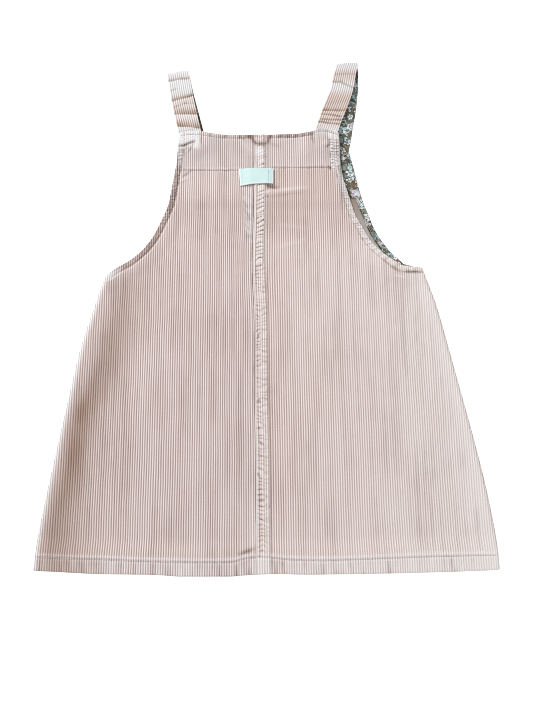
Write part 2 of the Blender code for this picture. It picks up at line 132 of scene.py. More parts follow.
StrapRow = namedtuple("StrapRow", "y back_mid front_mid ripple")
STRAP_LEFT = [
    StrapRow(187.5, -83.5, -80.8, 0.0),
    StrapRow(193.4, -84.9, -82.3, 0.2),
    StrapRow(200.7, -86.6, -84.2, 1.6),
    StrapRow(208.0, -88.3, -86.1, 0.2),
    StrapRow(216.6, -90.2, -88.4, 1.5),
    StrapRow(227.8, -92.6, -91.3, 0.3),
    StrapRow(232.0, -93.4, -92.4, 1.6),
    StrapRow(237.0, -94.3, -93.6, 0.6),
    StrapRow(241.5, -95.1, -94.7, 1.7),
    StrapRow(251.0, -96.8, -96.7, 0.2),
]
STRAP_RIGHT = [
    StrapRow(187.5, 65.7, 82.0, 0.0),
    StrapRow(192.5, 67.4, 82.7, 0.1),
    StrapRow(203.5, 71.0, 84.8, 1.0),
    StrapRow(208.5, 72.8, 85.8, 0.4),
    StrapRow(215.0, 75.4, 87.0, 1.5),
    StrapRow(226.0, 79.6, 88.5, 1.2),
    StrapRow(234.0, 82.5, 89.5, 0.5),
    StrapRow(243.0, 84.8, 90.5, 0.3),
    StrapRow(253.0, 86.8, 91.0, 1.3),
    StrapRow(260.0, 88.2, 91.1, 0.6),
]
StrapEnds = namedtuple("StrapEnds", "tuck_mid bib_mid fold_mid fold_y fold_heading")
ENDS_LEFT = StrapEnds(-81.6, -77.0, -98.0, 257.0, -0.20)
ENDS_RIGHT = StrapEnds(62.6, 78.0, 90.8, 268.0, -0.05)

# Creases across the straps' back halves: height at the strap's left and right
# edge, depth, how far the cloth takes to rise again above and below it, the
# part of the width that it crosses, and how brown it is: painted shade in the
# crease and on the slope above it, with some real brown in the crease itself.
StrapCrease = namedtuple("StrapCrease", "y_left y_right depth above below start end brown")
CREASES_LEFT = [
    StrapCrease(247.6, 251.0, 0.8, 3.4, 1.6, 0.0, 1.0, 0.90),
    StrapCrease(235.2, 243.6, 0.5, 1.8, 1.2, 0.0, 0.32, 0.70),
    StrapCrease(223.4, 230.8, 1.4, 3.8, 1.6, 0.0, 1.0, 1.25),
    StrapCrease(215.0, 224.6, 0.5, 2.4, 1.6, 0.0, 0.66, 0.60),
    StrapCrease(219.6, 220.4, 0.4, 2.0, 1.4, 0.55, 1.0, 0.45),
    StrapCrease(207.6, 208.2, 1.3, 7.6, 1.3, 0.0, 1.0, 1.15),
    StrapCrease(193.6, 191.4, 1.5, 7.4, 1.5, 0.0, 1.0, 1.30),
]
CREASES_RIGHT = [
    StrapCrease(255.4, 256.2, 0.5, 3.6, 1.8, 0.0, 1.0, 0.60),
    StrapCrease(247.4, 246.0, 0.7, 3.4, 1.2, 0.0, 0.42, 1.00),
    StrapCrease(251.0, 239.4, 0.7, 2.8, 1.4, 0.42, 1.0, 0.90),
    StrapCrease(220.0, 224.0, 0.4, 9.0, 6.0, 0.0, 1.0, 0.30),
    StrapCrease(212.2, 212.0, 1.5, 3.6, 1.4, 0.0, 1.0, 1.20),
    StrapCrease(208.0, 204.2, 0.7, 2.2, 1.5, 0.0, 0.9, 1.10),
    StrapCrease(201.4, 200.0, 0.7, 2.2, 1.4, 0.1, 1.0, 1.10),
    StrapCrease(198.2, 195.2, 0.7, 2.4, 1.4, 0.0, 1.0, 1.20),
]
# How much painted light the pile of a strap's outer side gets along its back
# half: cool is a blue-white painted highlight, shade is flat pale painted light
# above 0 and tan painted shade below 0.
StrapPale = namedtuple("StrapPale", "y cool shade")
PALE_LEFT = [StrapPale(178.0, 1.00, 0.25), StrapPale(190.0, 0.90, 0.15),
             StrapPale(194.0, 0.25, -0.05), StrapPale(199.0, 0.22, -0.02),
             StrapPale(203.5, 0.70, 0.05), StrapPale(206.0, 0.80, 0.10),
             StrapPale(208.5, 0.30, -0.05), StrapPale(214.0, 0.28, -0.04),
             StrapPale(219.0, 0.55, 0.0), StrapPale(223.0, 0.45, -0.04),
             StrapPale(228.0, 0.50, -0.04), StrapPale(233.0, 0.80, 0.03),
             StrapPale(238.0, 1.00, 0.08), StrapPale(246.0, 1.10, 0.14),
             StrapPale(250.0, 0.80, 0.04), StrapPale(258.0, 1.05, 0.10),
             StrapPale(264.0, 1.10, 0.10)]
PALE_RIGHT = [StrapPale(178.0, 0.80, 0.15), StrapPale(188.0, 0.85, 0.15),
              StrapPale(194.0, 0.50, 0.05), StrapPale(204.0, 0.15, 0.0),
              StrapPale(213.0, 0.12, -0.05), StrapPale(220.0, 0.12, -0.16),
              StrapPale(228.0, 0.15, -0.14), StrapPale(234.0, 0.40, -0.04),
              StrapPale(238.0, 0.85, 0.05), StrapPale(244.0, 0.90, 0.08),
              StrapPale(248.0, 0.50, 0.0), StrapPale(254.0, 0.25, -0.10),
              StrapPale(260.0, 0.45, -0.04), StrapPale(264.0, 0.90, 0.05),
              StrapPale(276.0, 0.90, 0.0)]

# The largest soft folds of the back: middle, length along its own line, width
# across it, height (a trough is negative) and the line's angle from +X.
Fold = namedtuple("Fold", "x y length width height angle")
FOLDS = [
    Fold(-76.0, 164.0, 46.0, 22.0, 0.9, 52.0),
    Fold(58.0, 160.0, 40.0, 22.0, 0.8, -60.0),
    Fold(-6.0, 176.0, 52.0, 20.0, 0.9, 0.0),
    Fold(30.0, 118.0, 70.0, 26.0, 0.7, 18.0),
    Fold(-120.0, -80.0, 190.0, 40.0, 0.8, 84.0),
    Fold(110.0, -60.0, 210.0, 46.0, 0.7, 98.0),
    Fold(-62.0, -150.0, 150.0, 38.0, -0.4, 88.0),
]
# Creases of the back placed one by one: ends, half width, depth (a ridge is
# positive) and tone (painted light, with some pale wear, above 0; painted shade,
# with some real brown, below 0).
Crease = namedtuple("Crease", "x0 y0 x1 y1 width depth tone")
CREASES = [
    # left corner, under the strap
    Crease(-95.4, 168.5, -86.9, 170.6, 1.3, -1.10, -1.50),
    Crease(-89.0, 170.2, -77.8, 175.4, 1.4, -0.60, -1.50),
    Crease(-92.5, 174.8, -79.5, 178.4, 1.1, 0.30, 0.40),
    Crease(-83.5, 162.0, -79.7, 169.3, 1.5, -0.60, -0.65),
    Crease(-79.7, 169.3, -77.4, 175.5, 1.5, -0.45, -0.45),
    Crease(-94.5, 167.2, -86.0, 167.6, 1.1, 0.45, 0.95),
    Crease(-95.2, 165.0, -89.4, 165.2, 0.6, -0.25, -0.60),
    Crease(-95.0, 162.1, -89.4, 162.3, 0.6, -0.25, -0.55),
    Crease(-95.0, 159.1, -89.4, 159.3, 0.6, -0.25, -0.50),
    Crease(-88.9, 165.7, -88.7, 158.6, 0.7, -0.30, -0.55),
    Crease(-92.0, 178.9, -91.7, 170.8, 0.7, -0.25, -0.35),
    Crease(-70.8, 186.1, -70.5, 171.7, 0.8, -0.35, -0.70),
    Crease(-66.5, 184.0, -66.3, 174.0, 0.9, 0.20, 0.30),
    # left armhole
    Crease(-90.3, 134.4, -81.7, 140.5, 1.2, -0.60, -0.75),
    Crease(-92.7, 129.2, -83.1, 133.9, 1.4, 0.40, 0.50),
    Crease(-99.0, 124.5, -87.0, 129.4, 1.2, -0.35, -0.35),
    # top of the seam
    Crease(-21.0, 185.0, -15.6, 179.4, 2.9, -0.60, -1.15),
    Crease(-15.8, 180.2, -12.4, 173.4, 2.2, -0.40, -0.95),
    Crease(4.2, 181.0, 1.2, 174.0, 2.2, -0.45, -0.90),
    Crease(5.6, 185.0, 4.6, 180.0, 2.0, -0.30, -1.00),
    Crease(-27.0, 181.0, -20.0, 176.0, 1.8, -0.30, -0.40),
    Crease(-23.0, 172.0, -15.0, 165.0, 2.6, 0.35, 0.45),
    Crease(4.0, 174.0, 14.0, 170.0, 2.6, -0.30, -0.35),
    # below the label
    Crease(1.4, 123.6, 12.4, 121.8, 1.8, -0.50, -1.10),
    Crease(-8.7, 111.4, 6.3, 119.2, 1.3, 0.45, 0.75),
    Crease(-5.0, 110.6, 2.4, 112.3, 0.9, -0.45, -0.75),
    Crease(-0.5, 116.4, 44.0, 121.6, 2.5, 0.70, 0.95),
    Crease(4.0, 111.6, 40.0, 116.0, 2.4, -0.35, -0.30),
    Crease(12.0, 54.0, 40.0, 62.0, 3.2, 0.35, 0.30),
    Crease(14.0, 80.0, 40.0, 76.0, 3.0, 0.30, 0.22),
    Crease(-24.6, 108.0, -19.4, 112.0, 1.3, 0.30, 0.35),
    # right corner
    Crease(49.7, 186.1, 49.6, 176.5, 0.9, -0.70, -0.95),
    Crease(51.8, 181.3, 51.7, 171.7, 1.3, -0.45, -0.45),
    Crease(54.6, 186.5, 55.4, 176.5, 1.4, 0.35, 0.40),
    Crease(69.3, 178.9, 69.1, 170.5, 1.0, -0.50, -0.60),
    Crease(65.2, 168.1, 68.8, 171.3, 1.0, -0.80, -1.00),
    Crease(60.0, 171.0, 66.0, 175.0, 1.5, 0.40, 0.45),
    Crease(73.5, 168.8, 78.6, 168.8, 0.7, -0.35, -0.70),
    Crease(69.9, 163.8, 69.9, 156.6, 0.8, -0.40, -0.80),
    Crease(71.4, 160.4, 77.4, 160.4, 0.6, -0.25, -0.55),
    Crease(66.2, 147.7, 70.5, 142.9, 1.1, -0.70, -1.00),
    Crease(62.5, 150.5, 66.5, 146.5, 1.2, 0.35, 0.35),
    # right underarm
    Crease(143.1, 27.7, 161.0, 27.5, 1.2, -0.60, -1.30),
    Crease(140.0, 33.2, 160.0, 30.2, 1.3, 0.35, 0.55),
    Crease(123.0, 40.5, 131.5, 33.0, 1.3, -0.40, -0.50),
    Crease(130.0, 33.6, 140.0, 27.5, 1.3, -0.50, -0.70),
    Crease(134.0, 24.0, 142.5, 21.5, 1.1, 0.35, 0.45),
    Crease(127.5, 40.8, 136.5, 33.6, 1.4, 0.35, 0.45),
    # hem, left of the seam
    Crease(-25.0, -252.0, -11.0, -246.8, 1.7, -0.60, -1.00),
    Crease(-16.3, -258.5, -10.6, -252.0, 1.5, -0.40, -0.50),
]

# The broad painted shade, brown, down the left side, where the cloth slopes away
# from the light: how deep it is, how far inside the edge it is deepest, how far
# it spreads inwards, and a wider, weaker part.
SideShade = namedtuple("SideShade", "y depth centre spread wide")
SIDE_SHADE = [SideShade(42.0, 0.0, 26.0, 14.0, 0.0), SideShade(8.0, 0.36, 27.0, 26.0, 0.05),
              SideShade(-56.0, 0.46, 27.0, 26.0, 0.09), SideShade(-126.0, 0.72, 18.5, 16.0, 0.15),
              SideShade(-184.0, 0.62, 18.0, 18.0, 0.18), SideShade(-229.0, 0.38, 16.0, 24.0, 0.24),
              SideShade(-262.0, 0.34, 20.0, 30.0, 0.27)]

Label = namedtuple("Label", "corner x y")
LABEL = [Label("low_left", -27.9, 123.4), Label("low_right", 7.8, 125.9),
         Label("top_right", 7.8, 143.4), Label("top_left", -29.3, 143.5)]


# ------------------------------------------------------------ small functions
def reading(pairs):
    """Smooth monotone reading of a table of (x, y) pairs."""
    pts = sorted((float(a), float(b)) for a, b in pairs)
    xs = np.array([p[0] for p in pts])
    ys = np.array([p[1] for p in pts])
    d = np.diff(ys) / np.diff(xs)
    m = np.empty(len(xs))
    m[0], m[-1] = d[0], d[-1]
    prod = d[:-1] * d[1:]
    total = np.where(d[:-1] + d[1:] == 0.0, 1.0, d[:-1] + d[1:])
    m[1:-1] = np.where(prod <= 0.0, 0.0, 2.0 * prod / total)

    def read(x):
        x = np.clip(np.asarray(x, float), xs[0], xs[-1])
        i = np.clip(np.searchsorted(xs, x, side="left") - 1, 0, len(d) - 1)
        h = xs[i + 1] - xs[i]
        t = (x - xs[i]) / h
        return ((2 * t ** 3 - 3 * t ** 2 + 1) * ys[i] + (t ** 3 - 2 * t ** 2 + t) * h * m[i]
                + (3 * t ** 2 - 2 * t ** 3) * ys[i + 1] + (t ** 3 - t ** 2) * h * m[i + 1])
    return read


def ease(lo, hi, v):
    t = np.clip((np.asarray(v, float) - lo) / (hi - lo), 0.0, 1.0)
    return t * t * (3.0 - 2.0 * t)


def bump(v, width):
    """Soft hump of height 1 at v = 0."""
    return np.exp(-(np.asarray(v, float) / width) ** 2)


EDGE = {side: reading([(r.y, getattr(r, side)) for r in OUTLINE if getattr(r, side) is not None])
        for side in ("back_left", "back_right", "front_left", "front_right")}
hem_y = reading(HEM)
top_y = reading(TOP)
hem_stitch_y = reading(HEM_STITCH)
facing_stitch_y = reading(FACING_STITCH)
seam_x = reading([(p.y, p.x) for p in SEAM])
seam_base = reading([(-272.0, -8.9), (0.0, -11.6), (187.0, -12.7)])


def column_x(y, u):
    """x of a column of cloth at a distance u from the centre-back seam: the
    seam's own wander fades out across the panel."""
    return seam_base(y) + u + (seam_x(y) - seam_base(y)) * np.exp(-(np.asarray(u) / 26.0) ** 2)


def seam_w(y):
    return CB_HEM_W + (CB_TOP_W - CB_HEM_W) * (np.asarray(y, float) + 272.0) / 459.0


def noise(x, y, seed):
    """Smooth value noise with one cell to a unit, from -1 to 1."""
    lattice = np.random.default_rng(seed).uniform(-1.0, 1.0, (128, 128))
    x, y = np.asarray(x, float) + 37.3, np.asarray(y, float) + 41.7
    xi, yi = np.floor(x).astype(int), np.floor(y).astype(int)
    fx, fy = x - xi, y - yi
    fx, fy = fx * fx * (3 - 2 * fx), fy * fy * (3 - 2 * fy)
    x0, x1, y0, y1 = xi % 128, (xi + 1) % 128, yi % 128, (yi + 1) % 128
    return ((lattice[x0, y0] * (1 - fx) + lattice[x1, y0] * fx) * (1 - fy)
            + (lattice[x0, y1] * (1 - fx) + lattice[x1, y1] * fx) * fy)


def train(length, spacing, seed, width=0.30, start=-20.0):
    """A row of soft puckers at uneven places: a function of the distance along
    the line, from 0 in the troughs to about 1 on the ridges."""
    rng = np.random.default_rng(seed)
    grid = np.arange(start, length + 20.0, 0.1)
    out = np.zeros(grid.shape)
    at = start
    while at < length + 20.0:
        step = spacing(at) if callable(spacing) else spacing
        tall, wide = rng.uniform(0.45, 1.0), step * width * rng.uniform(0.75, 1.3)
        out += tall * np.exp(-((grid - at) / wide) ** 2)
        at += step * rng.uniform(0.62, 1.4)
    return lambda s: np.interp(s, grid, out)


class Line:
    """A polyline on the cloth: the distance to it and the length along it."""

    def __init__(self, pts):
        self.p = np.array(pts, float)
        self.step = np.diff(self.p, axis=0)
        self.size = np.hypot(self.step[:, 0], self.step[:, 1])
        self.run = np.concatenate([[0.0], np.cumsum(self.size)])

    def near(self, x, y):
        best = np.full(np.shape(x), 1e9)
        arc = np.zeros(np.shape(x))
        for (px, py), (ux, uy), size, run in zip(self.p, self.step, self.size, self.run):
            t = np.clip(((x - px) * ux + (y - py) * uy) / (size * size), 0.0, 1.0)
            d = np.hypot(x - px - t * ux, y - py - t * uy)
            closer = d < best
            best = np.where(closer, d, best)
            arc = np.where(closer, run + t * size, arc)
        return best, arc

    def at(self, s):
        i = np.clip(np.searchsorted(self.run, s, side="right") - 1, 0, len(self.size) - 1)
        t = ((s - self.run[i]) / self.size[i])[:, None]
        return self.p[i] + t * self.step[i], self.step[i] / self.size[i][:, None]


def armhole_points(side, ys):
    return [(float(EDGE[side](y)), float(y)) for y in ys]


ARM = {
    "back_left": Line(armhole_points("back_left", np.concatenate(
        [np.linspace(184.2, 50.0, 44), np.linspace(48.0, 25.0, 22)]))),
    "back_right": Line(armhole_points("back_right", np.concatenate(
        [np.linspace(185.5, 60.0, 42), np.linspace(57.0, 37.8, 14),
         np.linspace(37.0, 32.8, 16)]))),
}
FRONT_ARM = {}
for _side, _low in (("front_left", 24.5), ("front_right", 32.9)):
    FRONT_ARM[_side] = Line(armhole_points(_side, np.linspace(FACING_LOW_Y - GAP, _low, 90)))


def inset(line, distance, sign):
    """The same line moved in by a distance; sign is +1 for the right side."""
    t = np.gradient(line.p, axis=0)
    t /= np.hypot(t[:, 0], t[:, 1])[:, None]
    n = np.stack([t[:, 1], -t[:, 0]], axis=1) * sign
    return Line(line.p + distance * n)


# ------------------------------------------------------- the back's own form
def fold_height(x, y):
    total = np.zeros(np.shape(x))
    for f in FOLDS:
        a = math.radians(f.angle)
        u = ((x - f.x) * math.cos(a) + (y - f.y) * math.sin(a)) / (0.5 * f.length)
        v = ((y - f.y) * math.cos(a) - (x - f.x) * math.sin(a)) / (0.5 * f.width)
        inside = (np.abs(u) < 1) & (np.abs(v) < 1)
        total += np.where(inside, f.height * (1 - u * u) ** 2 * (1 - v * v) ** 2, 0.0)
    return total


def back_under(x, y):
    """Height of the back's underside above the surface."""
    faced = ease(96.0, 109.0, y)
    for line in FRONT_ARM.values():
        d, _ = line.near(x, y)
        faced = np.maximum(faced, 1.0 - ease(ARM_FACING_W + 2.5, ARM_FACING_W + 16.0, d))
    above_hem = y - hem_y(x)
    hemmed = 1.0 - ease(HEM_DEPTH + 0.5, HEM_DEPTH + HEM_SLOPE + 15.0, above_hem)
    z = Z_BACK + (Z_BACK_FACED - Z_BACK) * np.maximum(faced, hemmed)
    inside = np.minimum(x - EDGE["back_left"](y), EDGE["back_right"](y) - x)
    z = z + np.where(y < 30.0, SIDE_RIDGE * ease(-0.5, 4.5, inside)
                     * (1.0 - ease(10.0, 30.0, inside))
                     * (1.0 - ease(12.0, 30.0, y)) * (1.0 - 0.5 * hemmed), 0.0)
    for lo, hi in ((-99.0, -64.0), (48.0, 84.0)):
        u = ease(lo - 16.0, lo, x) * (1.0 - ease(hi, hi + 16.0, x))
        z = z + (TUCK_LIFT - Z_BACK_FACED) * u * ease(152.0, 173.0, y)
    fade = ease(0.0, 12.0, above_hem - HEM_DEPTH)
    return np.maximum(z + fold_height(x, y) * fade, np.where(y < BIB_TOP_Y, Z_BACK, 1.2))


hem_pucker = train(470.0, 9.0, 11)
hem_pucker_fine = train(470.0, 4.2, 12, width=0.36)
top_pucker = train(190.0, 6.6, 13)
arm_pucker = {"back_left": train(240.0, 4.2, 14, width=0.32),
              "back_right": train(240.0, lambda s: 3.4 if s < 48.0 else 6.0, 15, width=0.32)}


def back_detail(x, y, side):
    """Creases, stitch troughs and puckers: what they add to the height, their
    tone (painted light and shade, with some pale wear and real brown), and how
    much blue-white painted highlight the pile gets."""
    z = np.zeros(np.shape(x))
    tone = np.zeros(np.shape(x))
    cool = np.zeros(np.shape(x))
    sign = -1.0 if side == "back_left" else 1.0
    a = y - hem_y(x)
    t = top_y(x) - y
    inside = sign * (EDGE[side](y) - x)

    # cloth that doesn't lie quite flat
    z += 0.32 * noise(x / 34.0, y / 52.0, 1) + 0.16 * noise(x / 13.0, y / 22.0, 2)
    tone += 0.10 * noise(x / 22.0, y / 40.0, 3) + 0.06 * noise(x / 6.0, y / 9.0, 4)
    tone += 0.20 * noise(x / 2.9, y / 60.0, 29)

    # hem: a trough at the stitches, a puffed ridge above, puckers below; the tone
    # paints shade in the trough and light and shade on the ridge and the puckers,
    # with some pale wear on the ridge, and cool adds a blue-white painted highlight
    h = y - hem_stitch_y(x)
    coarse = hem_pucker(x + 220.0 + 0.12 * h)
    fine = hem_pucker_fine(x + 220.0 - 0.2 * h)
    z += -0.40 * bump(h, 0.8) + (0.16 + 0.24 * fine) * bump(h - 2.3, 1.3) \
        + 0.16 * bump(h + 2.0, 1.2)
    z += 0.36 * (coarse - 0.4) * ease(-12.0, -3.0, h) * (1.0 - ease(-1.2, 0.4, h)) \
        + 0.26 * (coarse - 0.4) * ease(0.4, 2.0, h) * (1.0 - ease(3.0, 9.0, h))
    tone += (0.10 + 0.85 * fine) * bump(h - 2.1, 1.3) - 0.40 * bump(h, 0.6) \
        + 0.22 * bump(h + 1.5, 0.8)
    by_seam = 1.0 + 1.2 * bump(x + 3.0, 26.0)
    tone += (0.55 * by_seam * (coarse - 0.45) + 0.24 + 0.50 * noise(x / 3.3, y / 20.0, 30)) \
        * (1.0 - ease(-2.0, -0.5, h))
    cool += 0.24 * bump(h - 2.0, 1.6) + 0.16 * bump(h + 1.6, 1.0)

    # top edge: painted shade in the stitch trough, painted light and shade on the
    # puckers; paler by the straps, browner between them
    by_strap = 1.0 - ease(-73.0, -69.0, x) if side == "back_left" else ease(50.0, 53.0, x)
    mid = ease(-40.0, -26.0, x) if side == "back_left" else 0.70 + 0.0 * x
    h = t - TOP_STITCH
    p = top_pucker(x + 96.0 + 0.3 * t)
    z += -0.42 * bump(h, 0.7) + 0.25 * bump(h - 2.0, 1.4) \
        + 0.40 * (p - 0.4) * (1.0 - ease(3.6, 5.0, t)) + 0.15 * (p - 0.4) * bump(h - 2.0, 2.0)
    tone += -0.55 * bump(h, 0.7) * (1.0 - 0.6 * by_strap) + 0.22 * bump(h - 2.2, 1.6) \
        + (1.0 - by_strap) * (1.10 * (p - 0.45) - 0.18 - 0.34 * mid) * (1.0 - ease(4.4, 6.2, t))

    # armhole edge: painted shade in the stitch trough and between the puckers,
    # painted light on the puckers and the ridge, and blue-white painted highlight
    # along the pale part of the band and at the corners
    d, s = ARM[side].near(x, y)
    h = d - ARM_STITCH
    p = arm_pucker[side](s + 0.35 * d)
    band = 1.0 - ease(ARM_STITCH - 1.0, ARM_STITCH + 0.6, d)
    z += -0.40 * bump(h, 0.7) + 0.22 * bump(h - 2.0, 1.4) \
        + 0.55 * (p - 0.45) * band + 0.2 * (p - 0.45) * bump(h - 1.5, 2.2)
    if side == "back_left":
        pale = ease(138.0, 158.0, y)
        blotch = 0.25 + 0.65 * ease(56.0, 100.0, y)
        tone += band * ((blotch * (p - 0.42) - 0.56) * (1 - pale)
                        + (0.60 * (p - 0.4) + 0.15) * pale) * ease(26.0, 34.0, y)
        tone += -0.80 * bump(h + 0.2, 0.9) * (1.0 - 0.6 * pale) * ease(22.0, 34.0, y) \
            + 0.55 * bump(h - 1.9, 0.8) * (1 - pale)
        cool += 0.70 * band * pale + 0.20 * (1.0 - ease(0.6, 2.2, d)) * ease(36.0, 50.0, y)
        cool += 0.95 * (1.0 - ease(4.0, 14.0, np.hypot(x + 162.0, y - 29.0)))
        corner = ease(165.5, 171.5, y + 0.30 * (x + 84.0)) * (1.0 - ease(-77.0, -68.0, x))
        cool = np.maximum(cool, 1.0 * corner)
        low = np.maximum(1.0 - ease(3.0, 14.0, d), 0.0) * ease(150.0, 164.0, y)
        cool = np.maximum(cool, 0.45 * low)
    else:
        pale = ease(84.0, 112.0, y)
        tick = np.clip(0.62 - p, 0.0, 0.62) / 0.62
        tone += band * (0.8 * (p - 0.42) * (1 - pale) - 0.35 * tick * pale)
        tone += -0.30 * bump(h, 0.55)
        ragged = 1.0 - ease(3.4, 8.6, d + 2.2 * noise(x / 3.2, y / 3.2, 34))
        cool += ragged * (0.30 * ease(36.0, 60.0, y) * (1 - pale) + 0.75 * pale)
        wide = ease(139.0, 146.0, y) * (1.0 - ease(176.0, 180.0, y)) * (1.0 - ease(11.0, 14.5, d))
        cool = np.maximum(cool, 0.70 * wide)
        wave = (y + 0.15 * x + 0.9 * noise(x / 6.0, y / 5.0, 26)) / 3.55
        steps = bump(np.abs(wave % 1.0 - 0.5) - 0.5, 0.15)
        rungs = wide * steps * ease(0.8, 1.6, d) * (1.0 - ease(10.6, 12.0, d)) \
            * (0.70 + 0.45 * noise(x / 4.0, y / 3.4, 23))
        posts = wide * (bump(d - 11.8, 0.7) + 0.8 * bump(d - 3.6, 0.5) + 0.5 * bump(d - 8.3, 0.4))
        tone -= 0.25 * rungs + 0.95 * posts * (0.75 + 0.5 * noise(x / 2.0, y / 2.2, 37))
        cool = np.maximum(cool, 0.80 * wide * (1.0 - ease(10.8, 11.8, d)))
        z += 0.35 * wide * bump(d - 8.0, 4.5) - 0.35 * rungs - 0.20 * posts
        corner = ease(177.0, 183.0, y) * ease(51.5, 55.0, x)
        cool = np.maximum(cool, 0.66 * corner)
        cool = np.maximum(cool, 0.30 * ease(150.0, 172.0, y) * ease(48.0, 62.0, x))

    # the facing's stitch line: painted shade in its trough, painted light on the
    # puffs beside it
    ends = ease(-97.0, -86.0, x) * (1.0 - ease(-28.0, -24.0, x)) if side == "back_left" \
        else ease(3.0, 9.0, x) * (1.0 - ease(66.0, 73.0, x))
    h = y - facing_stitch_y(x) - 0.5 * noise(x / 6.0, 0 * x, 38)
    q = top_pucker(x + 91.0 - 0.4 * h)
    drawn = 1.1 + 0.5 * noise(x / 8.0, 0 * x, 39)
    z += ends * (-0.34 * bump(h, 0.8) + (0.10 + 0.30 * q) * bump(h - 2.1, 1.3)
                 + 0.20 * q * bump(h + 2.2, 1.2))
    tone += ends * (-(0.34 + 0.42 * (1.0 - q)) * bump(h, drawn)
                    + (0.10 + 0.55 * q) * bump(h - 2.0, 1.1) + 0.40 * (q - 0.2) * bump(h + 1.8, 0.9))

    # beside the centre-back seam: painted shade in the ditch on the left and along
    # the fold's edge on the right
    u = x - seam_x(y)
    if side == "back_left":
        strong = (0.30 + 0.50 * ease(-118.0, -96.0, y) + 0.22 * ease(138.0, 146.0, y)) \
            * (0.75 + 0.45 * noise(y / 8.0, 0 * y, 27))
        z += -0.40 * strong * bump(u + 0.8, 0.9) + 0.18 * bump(u + 2.6, 1.0)
        tone += -1.25 * strong * bump(u + 0.8, 0.75) + 0.30 * bump(u + 2.7, 0.8)
        # painted highlight on the pulled cloth beside the seam below the label
        pulled = bump(u + 5.0, 4.5) * ease(52.0, 70.0, y) * (1.0 - ease(116.0, 124.0, y))
        tone += pulled * (0.04 + 0.60 * noise((x + 0.5 * y) / 3.0, y / 5.0, 28))
        cool = np.maximum(cool, 0.40 * pulled)
        # a paler strip beside the seam, above the hem
        pale_by_seam = bump(u + 4.0, 3.5) * ease(-250.0, -238.0, y) * (1.0 - ease(-205.0, -180.0, y))
        tone += 0.45 * pale_by_seam
    else:
        v = u - seam_w(y)
        deep = 1.0 - ease(-132.0, -105.0, y)
        z += -0.06 * bump(v - 0.2, 1.1)
        tone += -0.26 * bump(v, 2.6) - 0.18 * deep * bump(v - 0.8, 0.9) \
            - 0.22 * ease(15.0, 50.0, y) * (1.0 - ease(126.0, 140.0, y)) * bump(v - 0.4, 2.0)

    # side seams: on the left, a painted-light outer edge with blue-white painted
    # highlight and a trough inside it; on the right, painted shade on the edge and
    # painted light just inside it
    low = 1.0 - ease(8.0, 30.0, y)
    if side == "back_left":
        tone += low * 0.70 * (1.0 - ease(3.0, 8.0, inside))
        cool = np.maximum(cool, 0.85 * low * (1.0 - ease(1.5, 6.5, inside)))
        z += -0.5 * low * bump(inside - 19.0, 8.0)
    else:
        tone += low * (-0.45 * bump(inside - 1.0, 0.7) + 0.42 * bump(inside - 6.5, 5.0))

    # creases placed one by one
    for c in CREASES:
        reach = 3.0 * c.width + 1.0
        near = (x > min(c.x0, c.x1) - reach) & (x < max(c.x0, c.x1) + reach) \
            & (y > min(c.y0, c.y1) - reach) & (y < max(c.y0, c.y1) + reach)
        if not np.any(near):
            continue
        xn, yn = x[near], y[near]
        ux, uy = c.x1 - c.x0, c.y1 - c.y0
        size = math.hypot(ux, uy)
        k = ((xn - c.x0) * ux + (yn - c.y0) * uy) / (size * size)
        kc = np.clip(k, 0.0, 1.0)
        dist = np.hypot(xn - c.x0 - kc * ux, yn - c.y0 - kc * uy)
        strength = 0.45 + 0.55 * np.sin(math.pi * kc)
        g = bump(dist, c.width) * strength
        z[near] += c.depth * g
        tone[near] += c.tone * g
    # the bib is greyer than the skirt, and so is the hem's band
    cool = np.maximum(cool, 0.24 * ease(141.0, 146.0, y))
    cool = np.maximum(cool, 0.12 * (1.0 - ease(HEM_DEPTH - 1.0, HEM_DEPTH + 1.5, a)))
    return z, tone, cool


def edge_rounding(x, y, side, z_full):
    """Folded edges roll over; the side seams come down to the front."""
    sign = -1.0 if side == "back_left" else 1.0
    d_arm, _ = ARM[side].near(x, y)
    e = np.minimum(np.minimum(y - hem_y(x), top_y(x) - y), d_arm)
    k = np.clip(e / 1.7, 0.0, 1.0)
    z = z_full - 1.15 * (1.0 - np.sqrt(np.clip(1.0 - (1.0 - k) ** 2, 0.0, 1.0)))
    corner = 24.0 if side == "back_left" else 31.0
    inside = np.maximum(sign * (EDGE[side](y) - x), 0.0)
    k = np.clip(inside / 4.2, 0.0, 1.0)
    low = 1.45 + (z - 1.45) * np.sqrt(np.clip(1.0 - (1.0 - k) ** 2, 0.0, 1.0))
    w = 1.0 - ease(corner - 3.0, corner + 3.0, y)
    return z * (1.0 - w) + low * w


side_shade = {f: reading([(r.y, getattr(r, f)) for r in SIDE_SHADE])
              for f in ("depth", "centre", "spread", "wide")}


